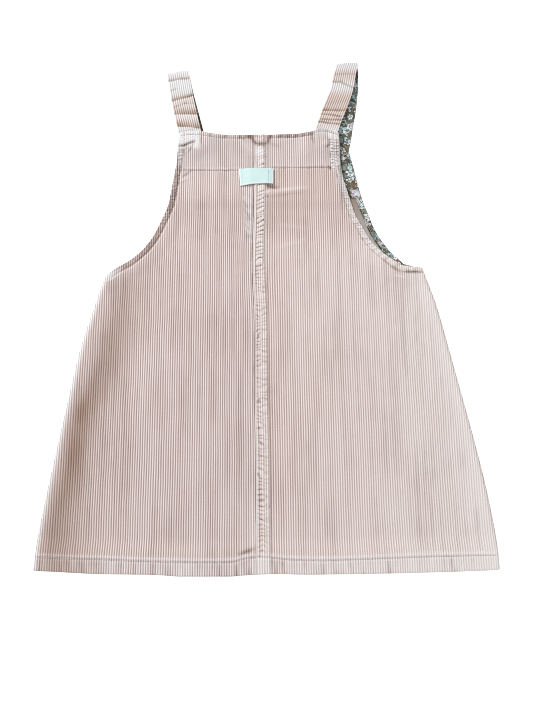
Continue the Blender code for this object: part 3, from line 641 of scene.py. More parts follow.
def back_shade(x, y, side):
    """Broad painted light and shade of a back panel: painted shade, brown, below 0;
    above 0 the colour goes flat and pale, mostly as painted light.
    """
    if side == "back_left":
        i = x - EDGE[side](y)
        c = side_shade["centre"](y)
        width = np.where(i < c, 10.0, side_shade["spread"](y))
        out = -side_shade["depth"](y) * bump(i - c, width) \
            * (1.0 + 0.18 * noise(x / 14.0, y / 24.0, 24))
        out = out - side_shade["wide"](y) * bump(i, 62.0) * ease(0.0, 8.0, i)
    else:
        i = EDGE[side](y) - x
        u = x - seam_base(y)
        low = 1.0 - ease(40.0, 90.0, y)
        out = 0.28 * ease(15.0, 50.0, y) * (1.0 - ease(126.0, 140.0, y)) \
            * bump(x - seam_x(y) - seam_w(y) - 0.4, 1.8) + 0.05 * low + 0.34 * np.clip(u / 190.0, 0.0, 1.2) * low \
            + 0.14 * (1.0 - ease(4.0, 40.0, i)) * low - 0.06 * bump(u - 17.0, 8.0) \
            - 0.09 * (1.0 - low) * (1.0 - ease(141.0, 146.0, y)) \
            + 0.10 * (1.0 - ease(HEM_DEPTH - 1.0, HEM_DEPTH + 1.5, y - hem_y(x)))
    # painted highlight: flat pale on the hem's ridge
    out = out + 0.18 * bump(y - hem_stitch_y(x) - 2.3, 1.4)
    bib = ease(141.0, 146.0, y)
    return out - (0.13 if side == "back_left" else 0.05) * bib + 0.05 * noise(x / 30.0, y / 42.0, 25)


def pressed(x, y, side):
    """1 where an armhole's stitched band presses the ribs flat, 0 elsewhere."""
    d, _ = ARM[side].near(x, y)
    if side == "back_left":
        corner = ease(166.5, 172.5, y + 0.30 * (x + 84.0)) * (1.0 - ease(-77.0, -68.0, x))
        tip = 1.0 - ease(4.0, 12.0, np.hypot(x + 162.0, y - 29.0))
        band = 0.22 * (1.0 - ease(5.0, 7.0, d)) * ease(70.0, 110.0, y)
        return np.maximum(np.maximum(band, 0.45 * tip), 0.80 * corner)
    narrow = 0.55 * (1.0 - ease(3.4, 8.4, d + 2.2 * noise(x / 3.2, y / 3.2, 34))) * ease(36.0, 52.0, y)
    wide = ease(139.0, 146.0, y) * (1.0 - ease(182.0, 190.0, y)) * (1.0 - ease(10.8, 12.0, d))
    return np.maximum(narrow, wide)


def back_lines(x, y, side):
    """Thin lines of painted shade between the puckers of an armhole's stitched band."""
    d, s = ARM[side].near(x, y)
    if side == "back_left":
        wave = (s + 0.55 * d + 1.3 * noise(x / 6.0, y / 6.0, 35)) / 3.9
        lines = (0.45 + 0.45 * ease(70.0, 110.0, y)) * ease(0.2, 0.9, d) \
            * (1.0 - ease(4.9, 6.0, d)) * ease(46.0, 80.0, y) \
            * (1.0 - 0.8 * ease(158.0, 167.0, y))
        lines = lines * (0.75 + 0.45 * noise(x / 5.0, y / 4.0, 36))
        fine = (y - 0.45 * x) / 2.9 + 0.5 * noise(x / 7.0, y / 4.0, 40)
        high = ease(167.0, 171.0, y) * ease(5.6, 7.0, d) * (1.0 - ease(-78.0, -72.0, x))
        return np.where(d < 6.3, wave, fine), np.maximum(lines, 0.40 * high)
    wide = ease(139.0, 144.0, y) * (1.0 - ease(178.0, 184.0, y))
    wave = (s + (0.15 + 0.35 * (1.0 - wide)) * d + 0.8 * noise(x / 5.0, y / 4.0, 26)) / 3.25
    reach = 6.4 + 5.0 * wide + 2.0 * noise(x / 3.2, y / 3.2, 34) * (1.0 - wide)
    lines = (0.60 + 0.50 * wide) * ease(0.7, 1.5, d) * (1.0 - ease(reach - 0.9, reach, d)) \
        * ease(36.0, 56.0, y) * (1.0 - ease(180.0, 186.0, y))
    return wave, lines * (0.80 + 0.50 * noise(x / 3.0, y / 3.0, 23))


def back_surface(x, y, side):
    """Outer face without the ribs: height, tone and coolness; and the inner face."""
    doubled = 1.0 - ease(HEM_DEPTH - 0.5, HEM_DEPTH + HEM_SLOPE + 14.0, y - hem_y(x))
    under = back_under(x, y)
    dz, tone, cool = back_detail(x, y, side)
    z = under + T_CORD * (1.0 + doubled) + dz
    return edge_rounding(x, y, side, z), tone, cool, under


def rib_height(u):
    """0 in a groove, 1 on a rib; u counts ribs and grooves."""
    w = np.abs(2.0 * (u - np.floor(u)) - 1.0)
    return 1.0 - w ** 3.0


# ------------------------------------------------------------------ mesh work
def zipper(a, b, ta, tb):
    """Triangles between two chains of vertices with growing parameters."""
    out, i, j = [], 0, 0
    while i < len(a) - 1 or j < len(b) - 1:
        if j == len(b) - 1 or (i < len(a) - 1 and ta[i + 1] <= tb[j + 1]):
            out.append((a[i], a[i + 1], b[j]))
            i += 1
        else:
            out.append((a[i], b[j + 1], b[j]))
            j += 1
    return out


def shell(name, over, under, material, uv, tone=None, cool=None, shade=None, step_r=1, step_c=1,
          wave=None, lines=None):
    """Closed wall of cloth: a fine grid for the outer face, and every step-th
    row and column of it for the inner one.  over and under are arrays of
    shape (rows, cols, 3).  Where lines is above 0, a thin line of painted
    shade runs wherever wave passes a whole number."""
    rows, cols = over.shape[:2]
    ri = list(range(0, rows - 1, step_r)) + [rows - 1]
    ci = list(range(0, cols - 1, step_c)) + [cols - 1]
    low = under[np.ix_(ri, ci)]
    verts = np.concatenate([over.reshape(-1, 3), low.reshape(-1, 3)]) * 0.001
    n = rows * cols
    idx = np.arange(n).reshape(rows, cols)
    jdx = n + np.arange(low.shape[0] * low.shape[1]).reshape(low.shape[:2])
    quads = np.stack([idx[:-1, :-1], idx[:-1, 1:], idx[1:, 1:], idx[1:, :-1]],
                     axis=-1).reshape(-1, 4).tolist()
    quads += np.stack([jdx[:-1, :-1], jdx[1:, :-1], jdx[1:, 1:], jdx[:-1, 1:]],
                      axis=-1).reshape(-1, 4).tolist()
    tris = []
    for line, small, t, ts in ((idx[0], jdx[0], range(cols), ci),
                               (idx[-1], jdx[-1], range(cols), ci),
                               (idx[:, 0], jdx[:, 0], range(rows), ri),
                               (idx[:, -1], jdx[:, -1], range(rows), ri)):
        tris += zipper(line.tolist(), small.tolist(), list(t), list(ts))
    mesh = bpy.data.meshes.new(name)
    mesh.from_pydata(verts.tolist(), [], quads + tris)
    bm = bmesh.new()
    bm.from_mesh(mesh)
    bmesh.ops.recalc_face_normals(bm, faces=bm.faces)
    bm.to_mesh(mesh)
    bm.free()
    uv_low = uv[np.ix_(ri, ci)]
    uvs = np.concatenate([uv.reshape(-1, 2), uv_low.reshape(-1, 2)])
    layer = mesh.uv_layers.new(name="UVMap")
    loops = np.empty(len(mesh.loops), dtype=np.int32)
    mesh.loops.foreach_get("vertex_index", loops)
    layer.data.foreach_set("uv", uvs[loops].astype(np.float32).ravel())
    for attr_name, field in (("tone", tone), ("cool", cool), ("shade", shade), ("wave", wave),
                             ("lines", lines)):
        values = np.zeros(len(verts), dtype=np.float32)
        if field is not None:
            field = field if attr_name == "wave" else np.clip(field, -1.5, 1.5)
            values[:n] = field.ravel()
            values[n:] = field[np.ix_(ri, ci)].ravel()
        attr = mesh.attributes.new(attr_name, "FLOAT", "POINT")
        attr.data.foreach_set("value", values)
    mesh.shade_smooth()
    mesh.materials.append(material)
    obj = bpy.data.objects.new(name, mesh)
    bpy.context.scene.collection.objects.link(obj)
    return obj


def thread(name, runs, material, radius=0.24):
    """Rows of separate stitches.  Each run is (line, height function, from, to)."""
    rings, sides = [(-1.0, 0.35), (-0.82, 0.85), (0.0, 1.0), (0.82, 0.85), (1.0, 0.35)], 6
    verts, faces = [], []
    for line, height, start, stop in runs:
        pitch = STITCH + STITCH_GAP
        s = np.arange(start + 0.5 * pitch, stop - 0.5 * pitch, pitch)
        if len(s) == 0:
            continue
        mid, along = line.at(s)
        a = mid - 0.5 * STITCH * along
        b = mid + 0.5 * STITCH * along
        za, zm, zb = (height(p[:, 0], p[:, 1]) for p in (a, mid, b))
        for i in range(len(s)):
            base = len(verts)
            tx, ty = along[i]
            for f, r in rings:
                k = 0.5 * (f + 1.0)
                cx = a[i][0] * (1 - k) + b[i][0] * k
                cy = a[i][1] * (1 - k) + b[i][1] * k
                lift = zm[i] + (0.5 * (za[i] + zb[i]) - zm[i]) * f * f + 0.22 * (1 - f * f)
                for q in range(sides):
                    w = 2.0 * math.pi * q / sides
                    off = radius * r * math.cos(w)
                    verts.append(((cx - ty * off) * 0.001, (cy + tx * off) * 0.001,
                                  (lift + radius * r * math.sin(w)) * 0.001))
            for g in range(len(rings) - 1):
                for q in range(sides):
                    q2 = (q + 1) % sides
                    faces.append((base + g * sides + q, base + g * sides + q2,
                                  base + (g + 1) * sides + q2, base + (g + 1) * sides + q))
            faces.append(tuple(base + q for q in range(sides - 1, -1, -1)))
            faces.append(tuple(base + (len(rings) - 1) * sides + q for q in range(sides)))
    mesh = bpy.data.meshes.new(name)
    mesh.from_pydata(verts, [], faces)
    mesh.shade_smooth()
    mesh.materials.append(material)
    obj = bpy.data.objects.new(name, mesh)
    bpy.context.scene.collection.objects.link(obj)
    return obj


# ------------------------------------------------------------------ materials
class Material:
    """Small helper around one node tree."""

    def __init__(self, name, roughness, sheen=0.0, sheen_roughness=0.5, specular=0.3):
        self.mat = bpy.data.materials.new(name)
        self.mat.use_nodes = True
        self.nodes = self.mat.node_tree.nodes
        self.links = self.mat.node_tree.links
        self.bsdf = self.nodes["Principled BSDF"]
        self.bsdf.inputs["Roughness"].default_value = roughness
        self.bsdf.inputs["Metallic"].default_value = 0.0
        self.bsdf.inputs["Specular IOR Level"].default_value = specular
        self.bsdf.inputs["Sheen Weight"].default_value = sheen
        self.bsdf.inputs["Sheen Roughness"].default_value = sheen_roughness

    def put(self, socket, value):
        if isinstance(value, bpy.types.NodeSocket):
            self.links.new(value, socket)
        elif isinstance(value, tuple) and len(value) == 3 and socket.type == "RGBA":
            socket.default_value = (*value, 1.0)
        else:
            socket.default_value = value

    def node(self, kind, inputs=None, **settings):
        n = self.nodes.new(kind)
        for k, v in settings.items():
            setattr(n, k, v)
        for k, v in (inputs or {}).items():
            self.put(n.inputs[k], v)
        return n

    def math(self, op, a, b=0.0, c=None, clamp=False):
        ins = {0: a, 1: b}
        if c is not None:
            ins[2] = c
        return self.node("ShaderNodeMath", ins, operation=op, use_clamp=clamp).outputs[0]

    def mix(self, fac, a, b, blend="MIX"):
        n = self.nodes.new("ShaderNodeMix")
        n.data_type = "RGBA"
        n.blend_type = blend
        n.clamp_factor = True
        self.put(n.inputs[0], fac)
        self.put(n.inputs[6], a)
        self.put(n.inputs[7], b)
        return n.outputs[2]

    def ramp(self, value, lo, hi, out_lo=0.0, out_hi=1.0):
        return self.node("ShaderNodeMapRange",
                         {"Value": value, "From Min": lo, "From Max": hi,
                          "To Min": out_lo, "To Max": out_hi},
                         interpolation_type="SMOOTHSTEP").outputs[0]

    def place(self):
        return self.node("ShaderNodeTexCoord").outputs["Object"]

    def uv(self):
        out = self.node("ShaderNodeTexCoord").outputs["UV"]
        sep = self.node("ShaderNodeSeparateXYZ", {0: out})
        return out, sep.outputs[0], sep.outputs[1]

    def noise(self, vector, scale, detail=2.0, roughness=0.5):
        n = self.node("ShaderNodeTexNoise", {"Vector": vector, "Scale": scale,
                                             "Detail": detail, "Roughness": roughness})
        return n.outputs["Fac"]

    def bump(self, height, strength, distance):
        n = self.node("ShaderNodeBump", {"Height": height, "Strength": strength,
                                         "Distance": distance})
        self.links.new(n.outputs[0], self.bsdf.inputs["Normal"])


def corduroy(name, crest_colour, flank_colour, groove, stain_and_shade=(0.47, 0.405, 0.37), on_crest=0.75):
    """Cut pile in ribs along V; U counts the ribs."""
    m = Material(name, 0.9, sheen=0.20, sheen_roughness=0.45, specular=0.12)
    _, u, _ = m.uv()
    place = m.place()
    frac = m.math("FRACT", u)
    off = m.math("MULTIPLY", m.math("ABSOLUTE", m.math("SUBTRACT", frac, 0.5)), 2.0)
    pile = m.noise(place, 1150.0, 2.0, 0.6)
    off = m.math("ADD", off, m.math("MULTIPLY", m.math("SUBTRACT", pile, 0.5), 0.22))
    crest = m.ramp(off, 0.10, 0.50, 1.0, 0.0)
    deep = m.ramp(off, 0.55, 0.98)
    blotch = m.noise(place, 26.0, 3.0, 0.55)
    shallow = m.ramp(blotch, 0.40, 0.66, 1.0, 0.76)
    top = m.mix(crest, flank_colour, crest_colour)
    colour = m.mix(m.math("MULTIPLY", deep, shallow), top, groove)
    colour = m.mix(m.ramp(blotch, 0.35, 0.65, 0.0, 0.16), colour,
                   m.mix(1.0, colour, (0.92, 0.88, 0.85), "MULTIPLY"))
    tone = m.node("ShaderNodeAttribute", attribute_name="tone").outputs["Fac"]
    cool = m.node("ShaderNodeAttribute", attribute_name="cool").outputs["Fac"]
    shade = m.node("ShaderNodeAttribute", attribute_name="shade").outputs["Fac"]
    # tone above 0: pale wear together with painted light on ridges, puffs and lit edges
    pale = m.math("MULTIPLY", tone, 0.85, clamp=True)
    worn_and_lit = m.mix(deep, m.mix(crest, (0.695, 0.632, 0.617), (0.86, 0.822, 0.812)), (0.49, 0.425, 0.405))
    colour = m.mix(pale, colour, worn_and_lit)
    # cool: a blue-white painted highlight
    cold = m.mix(deep, m.mix(crest, (0.62, 0.612, 0.632), (0.768, 0.766, 0.79)),
                 (0.41, 0.385, 0.382))
    colour = m.mix(m.math("MULTIPLY", cool, 1.0, clamp=True), colour, cold)
    # shade above 0: flat pale painted light; shade below 0: brown painted shade
    colour = m.mix(m.math("MULTIPLY", shade, 1.0, clamp=True), colour,
                   m.mix(m.math("MULTIPLY", cool, 1.0, clamp=True), (0.80, 0.763, 0.745),
                         (0.838, 0.824, 0.842)))
    colour = m.mix(m.math("MULTIPLY", shade, -1.0, clamp=True), colour,
                   m.mix(1.0, colour, (0.46, 0.34, 0.26), "MULTIPLY"))
    # tone below 0: painted shade in creases, troughs and ditches, with some real brown; the deepest get darker
    # still
    brown = m.math("MULTIPLY", m.math("MULTIPLY", tone, -1.15, clamp=True),
                   m.mix(crest, (1.0, 1.0, 1.0), (on_crest, on_crest, on_crest)))
    colour = m.mix(brown, colour, m.mix(1.0, colour, stain_and_shade, "MULTIPLY"))
    colour = m.mix(m.ramp(tone, -1.40, -0.85, 0.80, 0.0), colour,
                   m.mix(1.0, colour, (0.56, 0.50, 0.46), "MULTIPLY"))
    # lines: thin lines of painted shade between puckers
    wave = m.node("ShaderNodeAttribute", attribute_name="wave").outputs["Fac"]
    lines = m.node("ShaderNodeAttribute", attribute_name="lines").outputs["Fac"]
    coarse = m.noise(place, 260.0, 1.0)
    step = m.math("FRACT", m.math("ADD", wave, m.math("MULTIPLY", coarse, 0.22)))
    step = m.math("MULTIPLY", m.math("ABSOLUTE", m.math("SUBTRACT", step, 0.5)), 2.0)
    drawn = m.math("MULTIPLY", m.ramp(step, 0.62, 0.86), m.math("MULTIPLY", lines, 1.0, clamp=True))
    drawn = m.math("MULTIPLY", drawn, m.ramp(m.noise(place, 330.0, 1.0), 0.34, 0.56, 0.35, 1.0))
    colour = m.mix(drawn, colour, m.mix(1.0, colour, (0.42, 0.36, 0.335), "MULTIPLY"))
    m.links.new(colour, m.bsdf.inputs["Base Color"])
    m.bump(pile, 0.35, 0.0003)
    return m.mat


def cord_wrong_side(name):
    """The flat woven wrong side of the corduroy."""
    m = Material(name, 0.9, sheen=0.08, specular=0.15)
    _, u, v = m.uv()
    place = m.place()
    warp = m.math("SINE", m.math("MULTIPLY", u, 4.0 * math.pi))
    weft = m.math("SINE", m.math("MULTIPLY", v, 4.0 * math.pi))
    weave = m.math("MULTIPLY", warp, weft)
    grain = m.noise(place, 900.0, 2.0)
    soft = m.noise(place, 45.0, 2.0)
    colour = m.mix(grain, (0.34, 0.28, 0.25), (0.46, 0.39, 0.35))
    colour = m.mix(m.ramp(soft, 0.35, 0.7, 0.0, 0.4), colour, (0.30, 0.26, 0.23))
    # painted shade: darker and browner towards the top of the armhole, greyer lower down
    height = m.node("ShaderNodeSeparateXYZ", {0: place}).outputs[1]
    colour = m.mix(m.ramp(height, 0.070, 0.116), m.mix(0.62, colour, (0.41, 0.42, 0.40)),
                   m.mix(1.0, colour, (0.74, 0.68, 0.62), "MULTIPLY"))
    m.links.new(colour, m.bsdf.inputs["Base Color"])
    m.bump(m.math("ADD", weave, grain), 0.3, 0.0002)
    return m.mat


def printed_cotton(name, pale=0.0):
    """Plain-weave cotton with a small all-over print of flowers and leaves."""
    m = Material(name, 0.78, specular=0.2)
    uv, u, v = m.uv()
    place = m.place()
    wobble = m.node("ShaderNodeTexNoise", {"Vector": uv, "Scale": 0.24, "Detail": 1.0})
    moved = m.node("ShaderNodeVectorMath",
                   {0: uv, 1: m.node("ShaderNodeVectorMath",
                                     {0: wobble.outputs["Color"], 1: (3.8, 3.8, 0.0)},
                                     operation="MULTIPLY").outputs[0]},
                   operation="ADD").outputs[0]
    quiver = m.node("ShaderNodeTexNoise", {"Vector": uv, "Scale": 0.70, "Detail": 1.0})
    moved = m.node("ShaderNodeVectorMath",
                   {0: moved, 1: m.node("ShaderNodeVectorMath",
                                        {0: quiver.outputs["Color"], 1: (1.3, 1.3, 0.0)},
                                        operation="MULTIPLY").outputs[0]},
                   operation="ADD").outputs[0]

    def cells(size, seed, randomness=0.85):
        """Nearest scattered point: its colour, and the way to it in mm."""
        shifted = m.node("ShaderNodeVectorMath", {0: moved, 1: (seed * 7.3, seed * 3.1, 0.0)},
                         operation="ADD").outputs[0]
        vor = m.node("ShaderNodeTexVoronoi",
                     {"Vector": shifted, "Scale": 1.0 / size, "Randomness": randomness},
                     voronoi_dimensions="2D")
        away = m.node("ShaderNodeVectorMath", {0: shifted, 1: vor.outputs["Position"]},
                      operation="SUBTRACT").outputs[0]
        sep = m.node("ShaderNodeSeparateXYZ", {0: away})
        col = m.node("ShaderNodeSeparateColor", {0: vor.outputs["Color"]})
        return sep.outputs[0], sep.outputs[1], col.outputs[0], col.outputs[1], col.outputs[2]

    def turned(dx, dy, angle):
        c, s = m.math("COSINE", angle), m.math("SINE", angle)
        a = m.math("ADD", m.math("MULTIPLY", dx, c), m.math("MULTIPLY", dy, s))
        b = m.math("SUBTRACT", m.math("MULTIPLY", dy, c), m.math("MULTIPLY", dx, s))
        return a, b

    def ring(dx, dy):
        return m.math("SQRT", m.math("ADD", m.math("MULTIPLY", dx, dx), m.math("MULTIPLY", dy, dy)))

    def under(value, limit, soft=0.12):
        return m.ramp(value, limit - soft, limit + soft, 1.0, 0.0)

    # ground, then leaves, small buds and flowers; one zone leans to aqua and
    # white, the next to brown and ochre
    zone = m.noise(uv, 0.050, 1.0)
    streak = m.ramp(m.noise(moved, 0.62, 2.0, 0.6), 0.40, 0.50, 1.0, 0.0)
    colour = m.mix(m.ramp(m.noise(uv, 0.13, 1.0), 0.46, 0.60), (0.026, 0.034, 0.027),
                   (0.17, 0.20, 0.18))
    for size, seed, long, wide, first, second in (
            (8.4, 1, 4.2, 1.7, (0.125, 0.115, 0.035), (0.13, 0.21, 0.18)),
            (7.6, 2, 3.6, 1.5, (0.30, 0.45, 0.43), (0.55, 0.55, 0.60)),
            (9.6, 3, 4.4, 1.8, (0.024, 0.020, 0.015), (0.17, 0.090, 0.035))):
        dx, dy, r, g, b = cells(size, seed, 1.0)
        a, c = turned(dx, dy, m.math("MULTIPLY", r, 6.28))
        bend = m.math("ADD", c, m.math("MULTIPLY", m.math("MULTIPLY", a, a), 0.08))
        form = m.math("ADD", m.math("POWER", m.math("ABSOLUTE", m.math("DIVIDE", a, long)), 2.0),
                      m.math("POWER", m.math("ABSOLUTE", m.math("DIVIDE", bend, wide)), 2.0))
        leaf = m.mix(m.ramp(g, 0.40, 0.60), first, second)
        leaf = m.mix(m.math("MULTIPLY", streak, 0.45), leaf, (0.035, 0.033, 0.024))
        colour = m.mix(under(form, 1.40, 0.16), colour, (0.028, 0.028, 0.021))
        colour = m.mix(under(form, 0.95, 0.20), colour, leaf)
    dx, dy, r, g, b = cells(5.6, 4, 1.0)
    dot = m.mix(m.ramp(g, 0.40, 0.60), (0.26, 0.20, 0.10), (0.56, 0.60, 0.63))
    colour = m.mix(under(ring(dx, dy), 0.95, 0.25), colour, dot)
    for size, seed, radius, first, second, third in (
            (13.5, 6, 4.9, (0.20, 0.110, 0.045), (0.30, 0.20, 0.075), (0.55, 0.49, 0.47)),
            (10.4, 5, 4.9, (0.40, 0.63, 0.62), (0.74, 0.87, 0.88), (0.88, 0.87, 0.92))):
        dx, dy, r, g, b = cells(size, seed, 1.0)
        turn = m.math("ADD", m.math("ARCTAN2", dy, dx), m.math("MULTIPLY", r, 6.28))
        petal = m.math("ABSOLUTE", m.math("COSINE", m.math("MULTIPLY", turn, 2.5)))
        reach = m.math("MULTIPLY", m.math("ADD", 0.66, m.math("MULTIPLY", petal, 0.34)),
                       m.math("MULTIPLY", m.ramp(b, 0.0, 1.0, 0.72, 1.12), radius))
        rr = ring(dx, dy)
        over_edge = m.math("SUBTRACT", rr, reach)
        pick = m.math("ADD", m.math("MULTIPLY", g, 0.7), m.math("MULTIPLY", zone, 0.6))
        petals = m.mix(m.ramp(pick, 0.45, 0.60), first, second)
        petals = m.mix(m.ramp(pick, 0.70, 0.85), petals, third)
        petals = m.mix(m.math("MULTIPLY", streak, 0.62), petals,
                       m.mix(1.0, petals, (0.30, 0.30, 0.27), "MULTIPLY"))
        gap = m.math("MULTIPLY", m.ramp(petal, 0.06, 0.36, 0.60, 0.0), m.ramp(rr, 0.8, 2.4))
        petals = m.mix(gap, petals, (0.040, 0.040, 0.030))
        petals = m.mix(under(rr, 0.95, 0.30), petals, (0.060, 0.042, 0.024))
        colour = m.mix(m.ramp(over_edge, 0.40, 0.90, 1.0, 0.0), colour, (0.016, 0.018, 0.013))
        colour = m.mix(m.ramp(over_edge, -0.22, 0.22, 1.0, 0.0), colour, petals)
    for size, seed, long, wide, first, second in (
            (12.5, 8, 5.2, 2.6, (0.74, 0.86, 0.87), (0.62, 0.60, 0.64)),
            (13.5, 9, 4.4, 2.2, (0.20, 0.235, 0.19), (0.20, 0.115, 0.048))):
        dx, dy, r, g, b = cells(size, seed, 1.0)
        a, c = turned(dx, dy, m.math("MULTIPLY", r, 6.28))
        bend = m.math("ADD", c, m.math("MULTIPLY", m.math("MULTIPLY", a, a), 0.10))
        form = m.math("ADD", m.math("POWER", m.math("ABSOLUTE", m.math("DIVIDE", a, long)), 2.0),
                      m.math("POWER", m.math("ABSOLUTE", m.math("DIVIDE", bend, wide)), 2.0))
        leaf = m.mix(m.ramp(g, 0.48, 0.60), first, second)
        leaf = m.mix(m.math("MULTIPLY", streak, 0.50), leaf,
                     m.mix(1.0, leaf, (0.34, 0.33, 0.28), "MULTIPLY"))
        colour = m.mix(under(form, 1.38, 0.16), colour, (0.020, 0.021, 0.016))
        colour = m.mix(under(form, 1.00, 0.20), colour, leaf)
    ink = m.math("ABSOLUTE", m.math("SUBTRACT", m.noise(moved, 0.30, 1.0), 0.5))
    colour = m.mix(m.ramp(ink, 0.012, 0.034, 0.85, 0.0), colour, (0.022, 0.022, 0.016))
    # threads of the weave, and soft fading
    warp = m.math("SINE", m.math("MULTIPLY", u, 13.0))
    weft = m.math("SINE", m.math("MULTIPLY", v, 13.0))
    weave = m.math("MULTIPLY", warp, weft)
    grain = m.noise(place, 1300.0, 2.0)
    colour = m.mix(m.ramp(grain, 0.3, 0.7, 0.0, 0.10), colour, (0.70, 0.72, 0.72))
    tone = m.node("ShaderNodeAttribute", attribute_name="tone").outputs["Fac"]
    colour = m.mix(m.math("MULTIPLY", tone, 1.0, clamp=True), colour, (0.60, 0.56, 0.62))
    # tone below 0: painted shadow beside the cloth above it and painted shade in stitch lines and folds
    colour = m.mix(m.math("MULTIPLY", tone, -1.0, clamp=True), colour,
                   m.mix(1.0, colour, (0.16, 0.17, 0.15), "MULTIPLY"))
    m.links.new(colour, m.bsdf.inputs["Base Color"])
    m.bump(m.math("ADD", weave, grain), 0.30, 0.0002)
    return m.mat


def woven_label(name):
    """Bare woven tape: fine satin ribs across it."""
    m = Material(name, 0.5, sheen=0.10, specular=0.4)
    uv, u, v = m.uv()
    place = m.place()
    across = m.math("SINE", m.math("MULTIPLY", v, 16.0))
    along = m.math("SINE", m.math("MULTIPLY", u, 9.0))
    weave = m.math("ADD", across, m.math("MULTIPLY", along, 0.5))
    grain = m.noise(place, 900.0, 2.0)
    soft = m.noise(place, 90.0, 2.0)
    colour = m.mix(m.ramp(weave, -1.5, 1.5), (0.53, 0.73, 0.72), (0.63, 0.81, 0.80))
    colour = m.mix(m.ramp(soft, 0.35, 0.7, 0.0, 0.35), colour, (0.66, 0.82, 0.81))
    colour = m.mix(m.ramp(grain, 0.3, 0.7, 0.0, 0.2), colour, (0.52, 0.70, 0.70))
    tone = m.node("ShaderNodeAttribute", attribute_name="tone").outputs["Fac"]
    colour = m.mix(m.math("MULTIPLY", tone, 1.0, clamp=True), colour, (0.84, 0.87, 0.87))
    colour = m.mix(m.math("MULTIPLY", tone, -1.0, clamp=True), colour, (0.30, 0.42, 0.44))
    m.links.new(colour, m.bsdf.inputs["Base Color"])
    m.bump(m.math("ADD", m.math("MULTIPLY", weave, 0.5), grain), 0.35, 0.00025)
    return m.mat


def sewing_thread(name, colour, dark):
    m = Material(name, 0.6, sheen=0.1, specular=0.3)
    place = m.place()
    grain = m.noise(place, 1600.0, 2.0)
    m.links.new(m.mix(m.ramp(grain, 0.3, 0.7), dark, colour), m.bsdf.inputs["Base Color"])
    m.bump(grain, 0.4, 0.0002)
    return m.mat


# copies of one corduroy: the right panel's is lighter, with lighter grooves, partly painted light and partly the
# pile's nap
CORD_LEFT = corduroy("corduroy_left", (0.80, 0.712, 0.692), (0.546, 0.445, 0.428),
                     (0.266, 0.195, 0.183))
CORD_RIGHT = corduroy("corduroy_right", (0.825, 0.720, 0.695), (0.575, 0.460, 0.438),
                      (0.312, 0.233, 0.217))
CORD_STRAP = corduroy("corduroy_strap", (0.785, 0.700, 0.660), (0.560, 0.445, 0.392),
                      (0.290, 0.208, 0.168), stain_and_shade=(0.55, 0.460, 0.375), on_crest=0.94)
WRONG_SIDE = cord_wrong_side("corduroy_wrong_side")
PRINT = printed_cotton("printed_cotton_cloth")
LABEL_TAPE = woven_label("label_tape")
THREAD = sewing_thread("pink_thread", (0.66, 0.59, 0.57), (0.45, 0.39, 0.37))
SEAM_THREAD = sewing_thread("pale_thread", (0.80, 0.74, 0.71), (0.62, 0.54, 0.50))
MINT_THREAD = sewing_thread("mint_thread", (0.42, 0.55, 0.55), (0.26, 0.36, 0.37))


# -------------------------------------------------------------- back panels
def column_ends(side, u):
    """Lowest and highest y of a column of cloth at distance u from the seam."""
    ys = np.linspace(-266.0, 184.0, 2400)
    reach = np.abs(EDGE[side](ys) - seam_base(ys))
    high = np.interp(np.abs(u), reach[::-1], ys[::-1])
    low = hem_y(column_x(-270.0, u))
    at_top = np.abs(u) <= reach[-1]
    high = np.where(at_top, top_y(column_x(185.0, u)), high)
    return low, high


def rows_for(length, count):
    """Distances up a column: fine at the hem and at the upper edge."""
    hem = np.array([0, .5, 1.2, 2.2, 3.6, 5.4, 7.4, 9.4, 11.0, 12.2, 13.2, 14.0, 14.8, 15.6,
                    16.6, 18.0, 20.0])
    top = np.array([8.5, 7.0, 5.8, 4.9, 4.1, 3.0, 1.9, 1.0, .4, 0])
    n = count - len(hem) - len(top) + 2
    t = np.linspace(0.0, 1.0, n)[None, :]
    part = np.linspace(0.0, 1.0, 400)
    dense = 1.0 + 2.0 * (1.0 - ease(0.02, 0.05, part)) + 4.2 * ease(0.60, 0.72, part)
    run = np.concatenate([[0.0], np.cumsum(0.5 * (dense[1:] + dense[:-1]))])
    g = np.interp(t, run / run[-1], part)
    s = np.minimum(1.0, length / 70.0)[:, None]
    low = hem[None, :] * s
    high = length[:, None] - top[None, :] * s
    mid = low[:, -1:] + (high[:, :1] - low[:, -1:]) * g
    return np.concatenate([low[:, :-1], mid, high[:, 1:]], axis=1)


